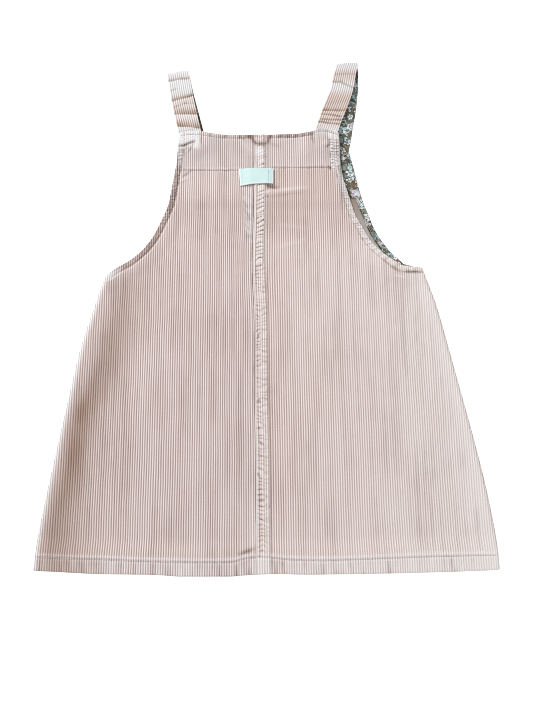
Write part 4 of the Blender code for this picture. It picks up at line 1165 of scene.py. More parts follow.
def back_panel(side, material, count):
    sign = -1.0 if side == "back_left" else 1.0
    quarter = WALE / 4.0
    if sign < 0:
        edge_u = float(seam_base(-264.0) - EDGE[side](-264.0))
        us = -(0.15 + np.concatenate([[0.0], np.arange(1, int((edge_u - 0.6) / quarter)) * quarter]))
    else:
        edge_u = float(EDGE[side](-264.0) - seam_base(-264.0))
        us = np.concatenate([[0.15, 3.0, 7.0, 10.0], CB_TOP_W + np.arange(
            -4, int((edge_u - 0.6 - CB_TOP_W) / quarter)) * quarter])
    low, high = column_ends(side, us)
    keep = high - low > 1.6
    us, low, high = us[keep], low[keep], high[keep]
    up = rows_for(high - low, count)
    y = (low[:, None] + up).T                       # rows, cols
    u = np.broadcast_to(us[None, :], y.shape)
    x = column_x(y, u)
    z, tone, cool, under = back_surface(x, y, side)
    # ribs lie down where an edge or a stitch line presses them
    relief = RELIEF * (0.55 + 0.45 * ease(0.0, 2.0, y - hem_y(x)))
    inside = sign * (EDGE[side](y) - x)
    phase = u / WALE if sign < 0 else (u - CB_TOP_W) / WALE + 20.5
    rib = rib_height(phase)
    flat = pressed(x, y, side)
    relief = relief * (1.0 - 0.85 * flat) * (1.0 - 0.22 * ease(138.0, 150.0, y))
    if sign > 0:
        under_strip = 1.0 - ease(seam_w(y) - 0.6, seam_w(y), u)
        rib = rib * (1.0 - under_strip)
        relief = relief * (0.45 + 0.55 * ease(0.5, 5.0, u - seam_w(y)))
        z = z - 0.25 * under_strip
    z = z + relief * (rib - 0.62)
    # the cloth pulls the ribs out of line a little
    calm = ease(0.0, 9.0, np.abs(u)) * ease(1.0, 12.0, inside)
    if sign > 0:
        calm = calm * ease(0.0, 8.0, u - seam_w(y))
    sway = calm * (0.26 * noise(x / 26.0, y / 45.0, 31) + 0.20 * noise(x / 9.0, y / 24.0, 32)
                   + 0.10 * noise(x / 4.0, y / 9.0, 33))
    over = np.stack([x + sway, y, np.maximum(z, 1.42)], axis=-1)
    low_z = np.minimum(under, over[..., 2] - 0.12)
    below = np.stack([x, y, np.maximum(low_z, 1.32)], axis=-1)
    uv = np.stack([phase, y / WALE], axis=-1)
    wave, lines = back_lines(x, y, side)
    # shade: the broad painted light and shade, and flat pale painted light where the ribs are pressed
    return shell(side + "_cloth", over, below, material, uv, tone, cool,
                 back_shade(x, y, side)
                 + flat * (0.62 if sign > 0 else 0.12 + 0.55 * ease(150.0, 166.0, y)),
                 step_r=14, step_c=2, wave=wave, lines=lines)


# The felled seam's two stitch rows: distance from the seam to each.
SeamRow = namedtuple("SeamRow", "y first second")
SEAM_ROWS = [SeamRow(187.0, 3.4, 10.6), SeamRow(120.0, 3.6, 11.2), SeamRow(60.0, 3.8, 11.2),
             SeamRow(25.0, 3.6, 10.4), SeamRow(-5.0, 3.0, 8.2), SeamRow(-45.0, 2.5, 7.0),
             SeamRow(-100.0, 2.8, 7.0), SeamRow(-150.0, 4.1, 8.4), SeamRow(-272.0, 4.0, 8.6)]
first_row = reading([(r.y, r.first) for r in SEAM_ROWS])
second_row = reading([(r.y, r.second) for r in SEAM_ROWS])


def seam_fold(material):
    """The fold of the felled seam, on the right panel: a smooth pale lip, a row
    of stitches, puffs, a second row and a low smooth border."""
    y = np.concatenate([np.linspace(-271.2, -252.0, 30), np.linspace(-251.1, 184.9, 470)])
    cols = np.array([0, .12, .35, .8, 1.3, 1.9, 2.4, 2.8, 3.2, 3.6, 4.0, 4.5, 5.1, 5.7, 6.3,
                     6.9, 7.5, 8.1, 8.6, 9.1, 9.5, 9.9, 10.3, 10.8, 11.4, 12.0, 12.5, 12.9,
                     13.2, 13.45, 13.6, 13.7])
    w = seam_w(y)[:, None]
    v = cols[None, :] * (w / 13.7)
    yy = np.broadcast_to(y[:, None], v.shape).copy()
    # the ends follow the hem and the top edge
    x = seam_x(yy) + v - 0.05
    yy = np.where(yy < -200, yy + (hem_y(x) + 271.2) * (1 - ease(-271.2, -250.0, yy)), yy)
    yy = np.where(yy > 150, yy + (top_y(x) - 184.95) * ease(160.0, 184.9, yy), yy)
    x = seam_x(yy) + v - 0.05
    base, tone, cool, _ = back_surface(x, yy, "back_right")
    up = ease(15.0, 50.0, yy)
    low = 1.0 - ease(-132.0, -105.0, yy)
    mid = 1.0 - up - low
    v1, v2 = first_row(yy), second_row(yy)
    body = ease(-256.0, -252.0, yy)
    near_top = ease(145.0, 160.0, yy)
    lean = yy - (0.50 * up + 0.06 * mid - 0.20 * low) * v + 0.055 * up * (v - 6.0) ** 2 \
        + 1.5 * noise(yy / 9.0, v / 5.0, 43)
    wave = lean / 4.45 + 0.55 * noise(yy / 6.0, v / 20.0, 41)
    turn = wave + 0.11 - np.floor(wave + 0.11)
    puff = np.sin(math.pi * turn) ** 0.9 * (0.85 + 0.30 * noise(yy / 5.0, v / 2.5, 45))
    wave_2 = wave * 0.84 + 0.40 * noise(yy / 8.0, v / 20.0, 42)
    turn = wave_2 + 0.11 - np.floor(wave_2 + 0.11)
    bars = np.sin(math.pi * turn) ** 0.9 * (0.80 + 0.35 * noise(yy / 6.0, v / 3.0, 44))
    between = ease(v1 - 0.4, v1 + 0.8, v) * (1.0 - ease(v2 - 0.6, v2 + 0.3, v))
    beyond = ease(v2 - 0.2, v2 + 0.8, v) * (1.0 - ease(w - 1.3, w - 0.4, v))
    border = ease(v2 - 0.2, v2 + 1.2, v) * up + ease(w - 2.0, w, v) * (1.0 - up)
    z = base + CB_RISE * (1.0 - 0.72 * border) + 0.30 * bump(v - 1.5, 1.1) \
        - body * (0.10 + 0.30 * (1.0 - puff)) * bump(v - v1, 0.8) \
        - body * (0.06 + 0.26 * (1.0 - puff)) * bump(v - v2, 0.7)
    z = z + body * (0.80 * (puff - 0.55) * between * (1.0 - 0.6 * mid)
                    + 0.75 * (bars - 0.55) * beyond * (mid + 0.7 * low))
    rib = rib_height(v / WALE + 0.57)
    z = z + 0.16 * (rib - 0.6) * (1.0 - 0.9 * between * body) * (1.0 - 0.9 * border * up)
    k = np.clip(np.minimum(v / 1.0, (w - v) / 0.8), 0.0, 1.0)
    z = z - 0.75 * (1.0 - np.sqrt(1.0 - (1.0 - k) ** 2)) * np.where(v > 6.0, 1.0 - border, 1.0)
    t = top_y(x) - yy
    a = yy - hem_y(x)
    k = np.clip(np.minimum(t, a) / 1.5, 0.0, 1.0)
    z = z - 0.9 * (1.0 - np.sqrt(1.0 - (1.0 - k) ** 2)) - 0.5 * ease(-6.0, 0.0, -t)
    # tone: painted light on the lip that the stitches bite into and on the puffs,
    # painted shade between them, on the border and at the fold's edge
    lip = ease(0.0, 0.4, v) * (1.0 - ease(v1 - 1.9 - 0.9 * low,
                                          v1 - 0.8 + (puff - 0.5) * (1.0 + 0.9 * low), v)) \
        * (1.0 - 0.25 * mid)
    lip = lip * (0.92 + 0.22 * noise(yy / 11.0, 0 * yy, 46)) * (1.0 - 0.45 * near_top)
    tone = 0.3 * tone + (1.05 - 0.15 * up) * lip
    tone = tone + body * (
        between * ((1.85 * up + 0.85 * mid + 1.35 * low) * (puff - 0.45 + 0.07 * low) + 0.10)
        * (1.0 - 0.85 * near_top)
        - 0.45 * bump(v - v1 + 0.1, 0.6) * (1.0 - puff) * (1.0 - near_top)
        + beyond * (-0.40 * up + mid * (1.25 * (bars - 0.45)) + low * (1.15 * (bars - 0.36)))
        + 0.75 * mid * bump(v - v2 + 0.6, 0.7) + 0.55 * low * bump(v - 12.0, 0.9))
    tone = tone - (0.38 * mid + 0.32 * low) * bump(v - w + 0.1, 0.8)
    tone = tone + (0.85 + 0.85 * noise(v / 1.7, yy / 26.0, 50)) * (1.0 - body)
    lines = body * (1.0 - near_top) * (
        0.90 * between * (up + 0.38 * low)
        + 0.60 * low * ease(0.9, 1.6, v) * (1.0 - ease(v1 + 1.0, v1 + 2.6, v))
        + mid * 0.70 * ease(1.2, 2.0, v) * (1.0 - ease(v2 - 1.8, v2 - 1.0, v))
        + 0.15 * beyond * (mid + low)) * (0.72 + 0.75 * noise(yy / 3.0, v / 1.8, 48))
    # creases right across it, in painted shade and light
    tone = tone - 0.45 * bump(yy + 201.9, 0.6) * ease(0.8, 1.6, v) * (1.0 - ease(9.0, 10.5, v)) \
        - 0.50 * bump(yy + 208.4, 1.1) * ease(2.0, 4.0, v) \
        + 0.35 * bump(yy + 212.5, 2.4)
    # near the top: a brown U of painted shade, with pale painted-light patches above it
    dip = yy - 172.2 - 3.4 * np.abs((v - 6.8) / 7.0) ** 5 + 0.7 * noise(v / 3.0, 0 * v, 49)
    box = near_top * bump(yy - 163.6, 5.0) ** 0.6 * ease(0.6, 1.6, v) * (1.0 - ease(9.2, 10.6, v))
    knot = near_top * bump(yy - 153.6, 2.2) * ease(2.6, 3.8, v) * (1.0 - ease(8.6, 10.2, v))
    tone = tone * (1.0 - 0.7 * near_top * bump(dip, 3.0)) \
        + 0.75 * box + 0.85 * knot \
        + near_top * (-0.55 * bump(yy - 157.6, 1.1) - 1.20 * bump(dip, 2.5)
                      - 0.70 * bump(yy - 149.6, 0.9)) * (1.0 - 0.6 * ease(11.4, 13.0, v))
    tone = tone - 0.45 * near_top * bump(v - 10.4, 0.8) * (1.0 - bump(dip, 3.0))
    cool = np.maximum(cool, 0.95 * box + 0.30 * knot)
    band = 1.0 - ease(3.6, 5.2, t)
    tone = tone * (1.0 - 0.8 * band) - 0.42 * band + 0.42 * band * bump(v - 7.0, 3.0)
    cool = np.maximum(cool, 0.35 * np.clip(lip, 0.0, 1.0))
    cool = np.maximum(cool, 0.22 * (1.0 - body))
    # shade: flat pale painted light on the lip, the puffs and the border
    shade = body * (1.0 - near_top) * (0.22 * np.clip(lip, 0.0, 1.0)
                                       + between * (0.34 * up + 0.15 * mid + 0.22 * low)
                                       + beyond * (0.25 * up + 0.20 * mid + 0.20 * low)) \
        + 0.45 * box + 0.30 * knot + 0.18 * (1.0 - body) + 0.25 * up * border * body
    under = np.minimum(base - 0.15, z - 0.2)
    over = np.stack([x, yy, z], axis=-1)
    below = np.stack([x, yy, under], axis=-1)
    uv = np.stack([v / WALE + 0.57, yy / WALE], axis=-1)
    return shell("back_seam_fold", over, below, material, uv, tone, cool, shade,
                 step_r=4, step_c=4, wave=wave, lines=lines)


back_left = back_panel("back_left", CORD_LEFT, 248)
back_right = back_panel("back_right", CORD_RIGHT, 230)
fold_strip = seam_fold(CORD_RIGHT)


# ----------------------------------------------------------- front panel
def front_panel(material):
    """The front lies right side down; its wrong side shows in the armhole."""
    lift = np.array([0.0, 1.0, 4.0, 8.0, 12.0, 14.5, 16.0, 17.5, 19.5])
    upper = np.concatenate([np.linspace(-245.0, 20.0, 60), np.linspace(23.0, BIB_TOP_Y, 90)])
    cols = np.concatenate([[0.0, 0.002, 0.005, 0.01, 0.018, 0.03, 0.05],
                           np.linspace(0.08, 0.92, 50),
                           [0.95, 0.97, 0.982, 0.99, 0.995, 0.998, 1.0]])
    rows_y = []
    for i in range(len(lift) + len(upper)):
        row = []
        guess = -270.0 + (lift[i] if i < len(lift) else 0.0)
        yl = guess if i < len(lift) else upper[i - len(lift)]
        xl, xr = float(EDGE["front_left"](yl)), float(EDGE["front_right"](yl))
        xs = xl + (xr - xl) * cols
        ys = hem_y(xs) + lift[i] if i < len(lift) else np.full(xs.shape, yl)
        rows_y.append(np.stack([xs, ys], axis=-1))
    grid = np.array(rows_y)
    x, y = grid[..., 0], grid[..., 1]
    doubled = 1.0 - ease(HEM_DEPTH - 0.5, HEM_DEPTH + HEM_SLOPE - 0.5, y - hem_y(x))
    z = T_CORD * (1.0 + doubled) + 0.05 * noise(x / 12.0, y / 14.0, 51) * ease(-240.0, -230.0, y)
    d = np.minimum(*(line.near(x, y)[0] for line in FRONT_ARM.values()))
    z = z - 0.25 * bump(d, 0.6)
    over = np.stack([x, y, z], axis=-1)
    below = np.stack([x, y, 0 * z], axis=-1)
    uv = np.stack([x / WALE, y / WALE], axis=-1)
    return shell("front_cloth", over, below, material, uv, step_r=3, step_c=2)


front = front_panel(WRONG_SIDE)
# its right side, on the surface, is corduroy
front.data.materials.append(CORD_RIGHT)
for poly in front.data.polygons:
    if poly.normal.z < -0.5:
        poly.material_index = 1


def bib_facing(material):
    ys = np.linspace(FACING_LOW_Y, BIB_TOP_Y - GAP, 76)
    cols = np.concatenate([np.linspace(0.0, 0.84, 40), np.linspace(0.85, 1.0, 40)])
    y = np.broadcast_to(ys[:, None], (len(ys), len(cols))).copy()
    xl, xr = EDGE["front_left"](y) + 0.4, EDGE["front_right"](y) - 0.4
    x = xl + (xr - xl) * cols[None, :]
    inside = np.minimum(x - xl, xr - x)
    z = Z_FACING + T_PRINT + 0.0 * x
    k = np.clip(inside / 1.2, 0.0, 1.0)
    z = z - 0.55 * (1.0 - np.sqrt(1.0 - (1.0 - k) ** 2))
    s_right = train(80.0, 6.4, 61, width=0.34)(y - 111.0 + 0.5 * inside)
    z = z + 0.24 * (s_right - 0.5) * ease(0.4, 2.0, inside) * (1 - ease(6.0, 14.0, inside)) \
        * ease(1.0, 4.0, y - FACING_LOW_Y)
    up = y - FACING_LOW_Y
    z = z + 0.22 * bump(up - 1.5, 1.2) - 0.30 * bump(up - 9.6, 0.6) \
        - 0.4 * (1 - ease(0.0, 0.8, up))
    # tone: the lilac turned hem with flecks along the bottom, painted shade in its stitch lines and on its lower
    # fold, and painted shadow beside the back panel's edge
    tone = (1.0 - ease(9.0, 10.6, up)) * 0.85 - 0.5 * bump(up - 9.8, 0.5) \
        - 0.35 * bump(inside - 5.4, 0.5)
    beside = x - EDGE["back_right"](y)
    tone = tone * ease(2.0, 6.0, beside) \
        - 0.80 * (1.0 - ease(0.6, 3.0 + 1.2 * noise(x / 5.0, y / 6.0, 65), beside))
    tone = tone + 0.45 * (noise(x / 2.4, y / 1.7, 64) - 0.15) * (1.0 - ease(9.0, 10.6, up))
    tone = tone - 0.9 * bump(up - 0.9, 0.8)
    over = np.stack([x, y, np.minimum(z, Z_BACK_FACED - 0.05)], axis=-1)
    below = np.stack([x, y, 0 * z + Z_FACING], axis=-1)
    uv = np.stack([x, y], axis=-1)
    return shell("bib_facing_cloth", over, below, material, uv, tone, step_r=5, step_c=4)


def armhole_facing(side, sign, material):
    line = FRONT_ARM[side]
    n = 150
    s = np.linspace(0.0, line.run[-1], n)
    pts, t = line.at(s)
    nrm = np.stack([-sign * np.abs(t[:, 1]), -np.abs(t[:, 0])], axis=1)
    nrm[0] = (-sign, 0.0)
    offs = np.array([0.4, 0.55, 0.9, 1.4, 2.0, 2.7, 3.4, 4.1, 4.7, 5.1, 5.5, 5.9, 6.3, 6.6])
    xy = pts[:, None, :] + offs[None, :, None] * nrm[:, None, :]
    x, y = xy[..., 0], xy[..., 1]
    o = np.broadcast_to(offs[None, :], x.shape)
    ss = np.broadcast_to(s[:, None], x.shape)
    pucker = train(160.0, 5.0, 62 if sign > 0 else 63, width=0.34)(ss + 0.3 * o)
    z = Z_FACING + T_PRINT - 0.10 + 0.0 * x
    k = np.clip(np.minimum(o - 0.4, 6.6 - o) / 0.9, 0.0, 1.0)
    z = z - 0.5 * (1.0 - np.sqrt(1.0 - (1.0 - k) ** 2))
    z = z - 0.28 * bump(o - 5.3, 0.45) + 0.22 * (pucker - 0.4) * ease(0.6, 1.6, o)
    # painted shade in the stitch line and on the puckers, and painted shadow along the inner side under the back
    # panel's edge, low down
    tone = -0.45 * bump(o - 5.3, 0.5) + 0.25 * (pucker - 0.4) \
        - 0.80 * ease(5.2, 6.4, o) * (1.0 - ease(66.0, 84.0, y))
    over = np.stack([x, y, np.minimum(z, Z_BACK_FACED - 0.05)], axis=-1)
    below = np.stack([x, y, 0 * z + Z_FACING], axis=-1)
    uv = np.stack([x, y], axis=-1)
    return shell("armhole_facing_" + ("right" if sign > 0 else "left") + "_cloth", over, below,
                 material, uv, tone, step_r=3, step_c=4)


facing = bib_facing(PRINT)
arm_facings = [armhole_facing("front_left", -1.0, PRINT),
               armhole_facing("front_right", 1.0, PRINT)]


# ------------------------------------------------------------------- straps
def strap_path(rows, ends):
    """Stations along a strap: from its tucked end, up the back half, over the
    shoulder fold and down the front half to the bib."""
    fx, fy = ends.fold_mid, ends.fold_y
    back = reading([(TUCK_Y, ends.tuck_mid)] + [(r.y, r.back_mid) for r in rows] + [(fy, fx)])
    front = reading([(BIB_TOP_Y + GAP, ends.bib_mid)] + [(r.y, r.front_mid) for r in rows]
                    + [(fy, fx)])
    ripple = reading([(TUCK_Y, 0.0)] + [(r.y, r.ripple) for r in rows] + [(fy, 0.0)])

    def slope(f, y, lo):
        a, b = np.maximum(y - 3.0, lo), np.minimum(y + 3.0, fy)
        return np.arctan2(f(b) - f(a), b - a)

    fold_heading = ends.fold_heading
    inner_r = FOLD_R - STRAP_TOTAL
    yb = np.linspace(TUCK_Y, fy - 0.6, 118)
    near = ease(fy - 26.0, fy - 2.0, yb)
    start = ease(TUCK_Y, TUCK_Y + 8.0, yb)
    hb = (slope(back, yb, TUCK_Y) * start) * (1 - near) + fold_heading * near
    zb = Z_STRAP + ripple(yb) + (FOLD_R + inner_r - Z_STRAP) * near
    bend = np.linspace(math.pi / 2, -math.pi / 2, 21)
    yf = np.linspace(fy - 0.6, BIB_TOP_Y + GAP, 90)
    nearf = ease(fy - 26.0, fy - 2.0, yf)
    startf = ease(BIB_TOP_Y, BIB_TOP_Y + 10.0, yf)
    hf = (slope(front, yf, BIB_TOP_Y) * startf) * (1 - nearf) + fold_heading * nearf
    return dict(
        x=np.concatenate([back(yb), np.full(21, fx), front(yf)]),
        y=np.concatenate([yb, np.full(21, fy), yf]),
        h=np.concatenate([hb, np.full(21, fold_heading), hf]),
        z=np.concatenate([zb, np.full(21, FOLD_R), np.full(90, STRAP_TOTAL)]),
        dy=np.concatenate([np.zeros(118), np.cos(bend), np.zeros(90)]),
        dz=np.concatenate([np.ones(118), np.sin(bend), -np.ones(90)]),
        turning=np.concatenate([np.zeros(118), np.ones(21), np.zeros(90)]),
        back=np.concatenate([np.ones(118), np.zeros(111)]),
        near=np.concatenate([near, np.ones(21), nearf]))


def strap_wrinkles(creases, y, k, rib):
    """Cross creases of a strap's back half: height and tone, the tone being painted
    shade in each crease and on the slope above it, with some real brown in the
    crease.  k runs from 0 to 1 across the strap, from left to right; rib is 1 on a
    rib and 0 in a groove, where the painted shade reaches further."""
    z = np.zeros(y.shape)
    tone = np.zeros(y.shape)
    for c in creases:
        at = c.y_left + (c.y_right - c.y_left) * k \
            + 0.45 * noise(k * 3.4, 0 * k + c.y_left, 71) + 0.55 * (rib - 0.5)
        d = y - at
        w = ease(c.start - 0.10, c.start + 0.06, k) * (1.0 - ease(c.end - 0.06, c.end + 0.10, k))
        w = w * (1.0 + 0.30 * noise(k * 4.1, 0 * k + 1.7 * c.y_left, 72))
        size = np.where(d > 0, c.above, c.below)
        soft = np.sqrt(d * d + 0.5) - 0.70
        g = np.exp(-soft / (0.62 * size)) * np.clip(w, 0.0, 1.0)
        z -= 0.75 * c.depth * g
        reach = c.above * (1.20 - 0.50 * rib)
        tone -= c.brown * w * (0.70 * np.where(d > 0, np.exp(-(d / reach) ** 2),
                                               np.exp(-(d / (0.6 * c.below)) ** 2))
                               + 0.28 * bump(d, 0.8))
    return z, tone


def strap_layer(name, rows, ends, creases, near, far, width, material, cord):
    p = strap_path(rows, ends)
    inner_r = FOLD_R - STRAP_TOTAL
    if cord:
        count = int(round(width / (WALE / 4.0)))
        w = np.linspace(-width / 2, width / 2, count + 1)
        w = np.concatenate([w[:1], w[:1] + 0.18, w[1:-1], w[-1:] - 0.18, w[-1:]])
    else:
        w = np.concatenate([[-width / 2, -width / 2 + 0.2], np.linspace(-width / 2 + 0.7, width / 2 - 0.7, 22),
                            [width / 2 - 0.2, width / 2]])
    rows_n, cols_n = len(p["x"]), len(w)
    W = np.broadcast_to(w[None, :], (rows_n, cols_n))
    col = {k: np.broadcast_to(v[:, None], (rows_n, cols_n)) for k, v in p.items()}
    k01 = W / STRAP_W + 0.5
    y_here = col["y"] - W * np.sin(col["h"])
    wz, wt = strap_wrinkles(creases, y_here, k01, rib_height(W / WALE + 0.5))
    wz = wz * col["back"]
    tone = wt * col["back"]
    # a strap's own ripple comes from its creases here, on the same mean height
    table = PALE_RIGHT if ends.fold_mid > 0 else PALE_LEFT
    seen = np.where(col["back"] + col["turning"] > 0, 1.0, 0.3)
    # blue-white painted highlight and painted light and shade from the tables, weaker off the back half
    cool = reading([(r.y, r.cool) for r in table])(y_here) * seen
    shade = reading([(r.y, r.shade) for r in table])(y_here) * seen
    lift = col["back"] * ease(TUCK_Y + 6.0, TUCK_Y + 14.0, col["y"]) * (1.0 - col["near"]) * 0.35
    rise = np.maximum(wz + 1.3 * col["back"] * ease(186.0, 191.0, col["y"]) * (1 - 0.8 * col["near"]), 0.0)
    z_mid = np.where(col["back"] > 0,
                     Z_STRAP + (FOLD_R + inner_r - Z_STRAP) * col["near"] + lift + rise, col["z"])
    side = np.minimum(W + STRAP_W / 2, STRAP_W / 2 - W)

    def face(offset):
        bow = 1.1 * (1.0 - (2.0 * W / width) ** 2) * col["near"] ** 3
        reach = col["turning"] * (inner_r + offset)
        x = col["x"] + W * np.cos(col["h"]) + reach * col["dy"] * np.sin(col["h"])
        y = col["y"] - W * np.sin(col["h"]) + reach * col["dy"] * np.cos(col["h"]) + bow
        z = np.where(col["turning"] > 0, FOLD_R + (inner_r + offset) * col["dz"],
                     z_mid + offset * col["dz"])
        return np.stack([x, y, np.maximum(z, 0.02)], axis=-1)

    run = np.concatenate([[0.0], np.cumsum(np.hypot(np.diff(p["x"]), np.diff(p["y"]))
                                           + np.pi / 20.0 * 3.0 * (np.diff(p["turning"]) == 0)
                                           * p["turning"][1:])])
    V = np.broadcast_to(run[:, None], W.shape)
    if cord:
        ribs = rib_height(W / WALE + 0.5)
        k = np.clip(side / 1.2, 0.0, 1.0)
        roll = 0.55 * (1.0 - np.sqrt(1.0 - (1.0 - k) ** 2))
        press = np.where(col["back"] + col["turning"] > 0, 1.0, 0.3)
        outer = far + (0.42 * (ribs - 0.7) * press) - roll
        uv = np.stack([W / WALE + 0.5, V / WALE], axis=-1)
        over, below = face(outer), face(near + 0 * W)
        tone = tone + 0.16
    else:
        k = np.clip(side / 0.8, 0.0, 1.0)
        roll = 0.25 * (1.0 - np.sqrt(1.0 - (1.0 - k) ** 2))
        pucker = train(260.0, 5.2, 81, width=0.35)(V + 0.3 * side)
        dent = 0.10 * bump(side - 2.6, 0.5) + 0.10 * (1 - pucker) * (1 - ease(3.0, 6.0, side))
        over, below = face(near + roll + dent * (1 - col["back"])), face(far + 0 * W)
        uv = np.stack([W + 7.0 * (1 if ends.fold_mid > 0 else 5), V], axis=-1)
        # painted shade in the stitch dent on the front halves, painted shadow over the whole left lining and near
        # the top of the right one
        tone = -0.45 * bump(side - 2.6, 0.45) * np.where(col["back"] > 0, 0, 1)
        cool = shade = None
        if ends.fold_mid < 0:
            tone = tone - 0.62
        else:
            tone = tone - 0.45 * ease(243.0, 250.0, col["y"])
    return shell(name, over, below, material, uv, tone, cool, shade,
                 step_r=3, step_c=4 if cord else 5)


straps = []
for side, rows, ends, creases in (("left", STRAP_LEFT, ENDS_LEFT, CREASES_LEFT),
                                  ("right", STRAP_RIGHT, ENDS_RIGHT, CREASES_RIGHT)):
    straps.append((side, strap_layer("strap_" + side + "_cord", rows, ends, creases,
                                     T_PRINT + GAP, STRAP_TOTAL, STRAP_W, CORD_STRAP, True),
                   strap_layer("strap_" + side + "_lining", rows, ends, creases,
                               0.0, T_PRINT, STRAP_W - 0.8, PRINT, False)))


# -------------------------------------------------------------------- label
def label(material):
    corner = {r.corner: r for r in LABEL}
    nu, nv = 64, 34
    u = np.broadcast_to(np.concatenate([[0, .004, .012], np.linspace(.022, .978, nu - 6),
                                        [.988, .996, 1.0]])[None, :], (nv, nu))
    v = np.broadcast_to(np.concatenate([[0, .008, .025], np.linspace(.05, .95, nv - 6),
                                        [.975, .992, 1.0]])[:, None], (nv, nu))

    def blend(attr):
        return (1 - v) * ((1 - u) * getattr(corner["low_left"], attr)
                          + u * getattr(corner["low_right"], attr)) \
            + v * ((1 - u) * getattr(corner["top_left"], attr)
                   + u * getattr(corner["top_right"], attr))

    x, y = blend("x"), blend("y")
    y = y + np.sin(math.pi * u) * (1.0 - 0.5 * v)
    d = x - seam_x(y)
    bridge = ease(-14.0, -2.0, d) * (1.0 - 0.6 * ease(seam_w(y) + 1.0, seam_w(y) + 7.0, d))
    base = back_under(x, y) + T_CORD
    z = base + GAP + 0.35 + (CB_RISE + 0.25) * bridge
    z = z + 0.06 * noise(x / 7.0, y / 9.0, 91)
    edge = np.minimum(np.minimum(u * 36.0, (1 - u) * 36.0), np.minimum(v * 20.0, (1 - v) * 20.0))
    k = np.clip(edge / 0.7, 0.0, 1.0)
    top = z + 0.75 - 0.40 * (1.0 - np.sqrt(1.0 - (1.0 - k) ** 2))
    # the right end is stitched down; the left end is folded under
    top = top - 0.22 * bump((1 - u) * 36.0 - 5.2, 0.5) + 0.12 * bump(u * 36.0 - 1.2, 0.9)
    # painted shade in the stitched dent at the right end; paler edges
    tone = -0.30 * bump((1 - u) * 36.0 - 5.2, 0.35) * ease(0.06, 0.14, v) * (1 - ease(0.84, 0.92, v)) \
        + 0.75 * (1 - ease(0.7, 2.0, np.minimum(u * 36.0, v * 20.0))) \
        + 0.55 * (1 - ease(0.6, 1.6, (1 - u) * 36.0))
    over = np.stack([x, y, top], axis=-1)
    below = np.stack([x, y, z], axis=-1)
    uv = np.stack([u * 36.0, v * 20.0], axis=-1)
    obj = shell("label_cloth", over, below, material, uv, tone, step_r=3, step_c=4)
    # the row of stitches at its right end
    j = int(np.argmin(np.abs((1 - u[0]) * 36.0 - 5.2)))
    line = Line([(float(x[i, j]), float(y[i, j])) for i in range(nv)])
    zs = reading([(float(y[i, j]), float(top[i, j])) for i in range(nv)])
    rows = thread("label_thread", [(line, lambda a, b: zs(b) + 0.02, 0.3, line.run[-1] - 0.3)],
                  MINT_THREAD, radius=0.17)
    return obj, rows


label_cloth, label_thread = label(LABEL_TAPE)


# ------------------------------------------------------------------ stitches
def on_back(side):
    return lambda x, y: back_surface(x, y, side)[0] + 0.20


def straight(points, n=160):
    return Line(points)


def sample(f, x0, x1, n=200):
    xs = np.linspace(x0, x1, n)
    return Line(np.stack([xs, f(xs)], axis=1))


runs = []
for side, sign, x0, x1 in (("back_left", -1.0, -215.5, -10.5), ("back_right", 1.0, 4.6, 215.5)):
    runs.append((sample(hem_stitch_y, x0, x1), on_back(side), 0.0, abs(x1 - x0)))
runs.append((sample(lambda x: top_y(x) - TOP_STITCH, -93.5, -12.8), on_back("back_left"), 0.0, 80.7))
runs.append((sample(lambda x: top_y(x) - TOP_STITCH, -1.5, 77.5), on_back("back_right"), 0.0, 79.0))
runs.append((sample(facing_stitch_y, -86.0, -30.5), on_back("back_left"), 0.0, 55.5))
runs.append((sample(facing_stitch_y, 10.0, 71.0), on_back("back_right"), 0.0, 61.0))
left_in = inset(ARM["back_left"], ARM_STITCH, -1.0)
right_in = inset(ARM["back_right"], ARM_STITCH, 1.0)
runs.append((left_in, on_back("back_left"), 5.0, left_in.run[-1] - 1.0))
runs.append((right_in, on_back("back_right"), 5.0, right_in.run[-1] - 2.0))
back_thread = thread("back_thread", runs, THREAD)


def on_fold():
    """Height of the seam fold at its two stitch lines."""
    def height(x, y):
        return back_surface(x, y, "back_right")[0] + CB_RISE - 0.10
    return height


ys = np.linspace(-255.0, 180.0, 300)
fold_runs = [(Line(np.stack([seam_x(ys) + first_row(ys), ys], axis=1)), on_fold(), 0.0, 434.0),
             (Line(np.stack([seam_x(ys) + second_row(ys), ys], axis=1)), on_fold(), 0.0, 434.0)]
fold_thread = thread("seam_thread", fold_runs, SEAM_THREAD, radius=0.20)

arm_in = inset(FRONT_ARM["front_right"], 5.3, 1.0)
arm_in_left = inset(FRONT_ARM["front_left"], 5.3, -1.0)
facing_thread = thread("facing_thread", [
    (arm_in, lambda x, y: 0 * x + Z_FACING + T_PRINT - 0.32, 2.0, arm_in.run[-1] - 4.0),
    (arm_in_left, lambda x, y: 0 * x + Z_FACING + T_PRINT - 0.32, 2.0, arm_in_left.run[-1] - 4.0)],
    THREAD, radius=0.2)

# ---------------------------------------------------------- ride and replace
for piece, node, slot in (
        (back_left, "back_left_panel", "corduroy"), (back_right, "back_right_panel", "corduroy"),
        (front, "front_panel", "corduroy"), (facing, "bib_facing", "printed_cotton"),
        (arm_facings[0], "armhole_facing_left", "printed_cotton"),
        (arm_facings[1], "armhole_facing_right", "printed_cotton"),
        (straps[0][1], "strap_left", "corduroy"), (straps[1][1], "strap_right", "corduroy"),
        (straps[0][2], "strap_lining_left", "printed_cotton"),
        (straps[1][2], "strap_lining_right", "printed_cotton"),
        (label_cloth, "label", "woven_label")):
    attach(piece, "root")
    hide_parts(node)
for piece, slot in ((fold_strip, "corduroy"), (back_thread, "corduroy"), (fold_thread, "corduroy"),
                    (facing_thread, "printed_cotton"), (label_thread, "woven_label")):
    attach(piece, "root")


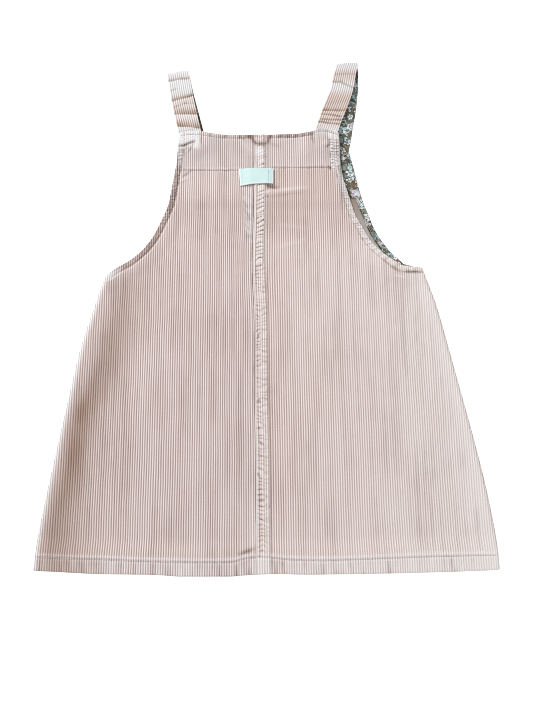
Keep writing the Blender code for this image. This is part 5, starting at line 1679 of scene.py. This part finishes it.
def area_between(left, right, y0, y1):
    ys = np.linspace(y0, y1, 800)
    return float(np.mean(right(ys) - left(ys)) * (y1 - y0)) * 1e-6


left_area = area_between(EDGE["back_left"], seam_x, -270.4, 185.0)
right_area = area_between(seam_x, EDGE["back_right"], -269.5, 186.0)
front_area = area_between(EDGE["front_left"], EDGE["front_right"], -270.0, BIB_TOP_Y)
facing_area = area_between(EDGE["front_left"], EDGE["front_right"], FACING_LOW_Y, BIB_TOP_Y)


# --------------------------------------------------- surface, light and camera
def floor():
    m = Material("pale_floor", 0.9, specular=0.1)
    place = m.place()
    m.links.new(m.mix(m.noise(place, 3.0), (0.90, 0.90, 0.90), (0.93, 0.93, 0.93)),
                m.bsdf.inputs["Base Color"])
    m.bsdf.inputs["Emission Color"].default_value = (1.0, 1.0, 1.0, 1.0)
    m.bsdf.inputs["Emission Strength"].default_value = 0.48
    mesh = bpy.data.meshes.new("floor")
    s = 4.0
    mesh.from_pydata([(-s, -s, 0), (s, -s, 0), (s, s, 0), (-s, s, 0)], [], [(0, 1, 2, 3)])
    mesh.materials.append(m.mat)
    obj = bpy.data.objects.new("floor", mesh)
    obj.location = (0, 0, -0.0002)
    bpy.context.scene.collection.objects.link(obj)


def lamp(name, spot, aim, size, power, colour=(1.0, 1.0, 1.0)):
    data = bpy.data.lights.new(name, "AREA")
    data.shape = "DISK"
    data.size = size
    data.energy = power
    data.color = colour
    obj = bpy.data.objects.new(name, data)
    obj.location = spot
    obj.rotation_euler = (Vector(aim) - Vector(spot)).to_track_quat("-Z", "Y").to_euler()
    bpy.context.scene.collection.objects.link(obj)


floor()
lamp("key", (-1.25, 1.15, 1.25), (0, 0, 0), 0.7, 34.0, (1.0, 0.985, 0.965))
lamp("fill", (1.3, -1.0, 1.6), (0, 0, 0), 1.6, 8.0, (0.95, 0.98, 1.0))

world = bpy.data.worlds.new("studio")
bpy.context.scene.world = world
world.use_nodes = True
world.node_tree.nodes["Background"].inputs[0].default_value = (1.0, 1.0, 1.0, 1.0)
world.node_tree.nodes["Background"].inputs[1].default_value = 0.62

scene = bpy.context.scene
scene.view_settings.view_transform = "Standard"
scene.view_settings.look = "None"
scene.cycles.filter_width = 0.9

cam = bpy.data.cameras.new("camera")
cam.lens = 27.34
cam.sensor_width = 36.0
cam.clip_start = 0.01
cam.clip_end = 20.0
camera = bpy.data.objects.new("camera", cam)
tilt = math.radians(10.65)
aim = Vector((0.0004, -0.0608, 0.003))
camera.location = aim + 0.546 * Vector((0.0, -math.sin(tilt), math.cos(tilt)))
camera.rotation_euler = (tilt, 0.0, 0.0)
scene.collection.objects.link(camera)
scene.camera = camera
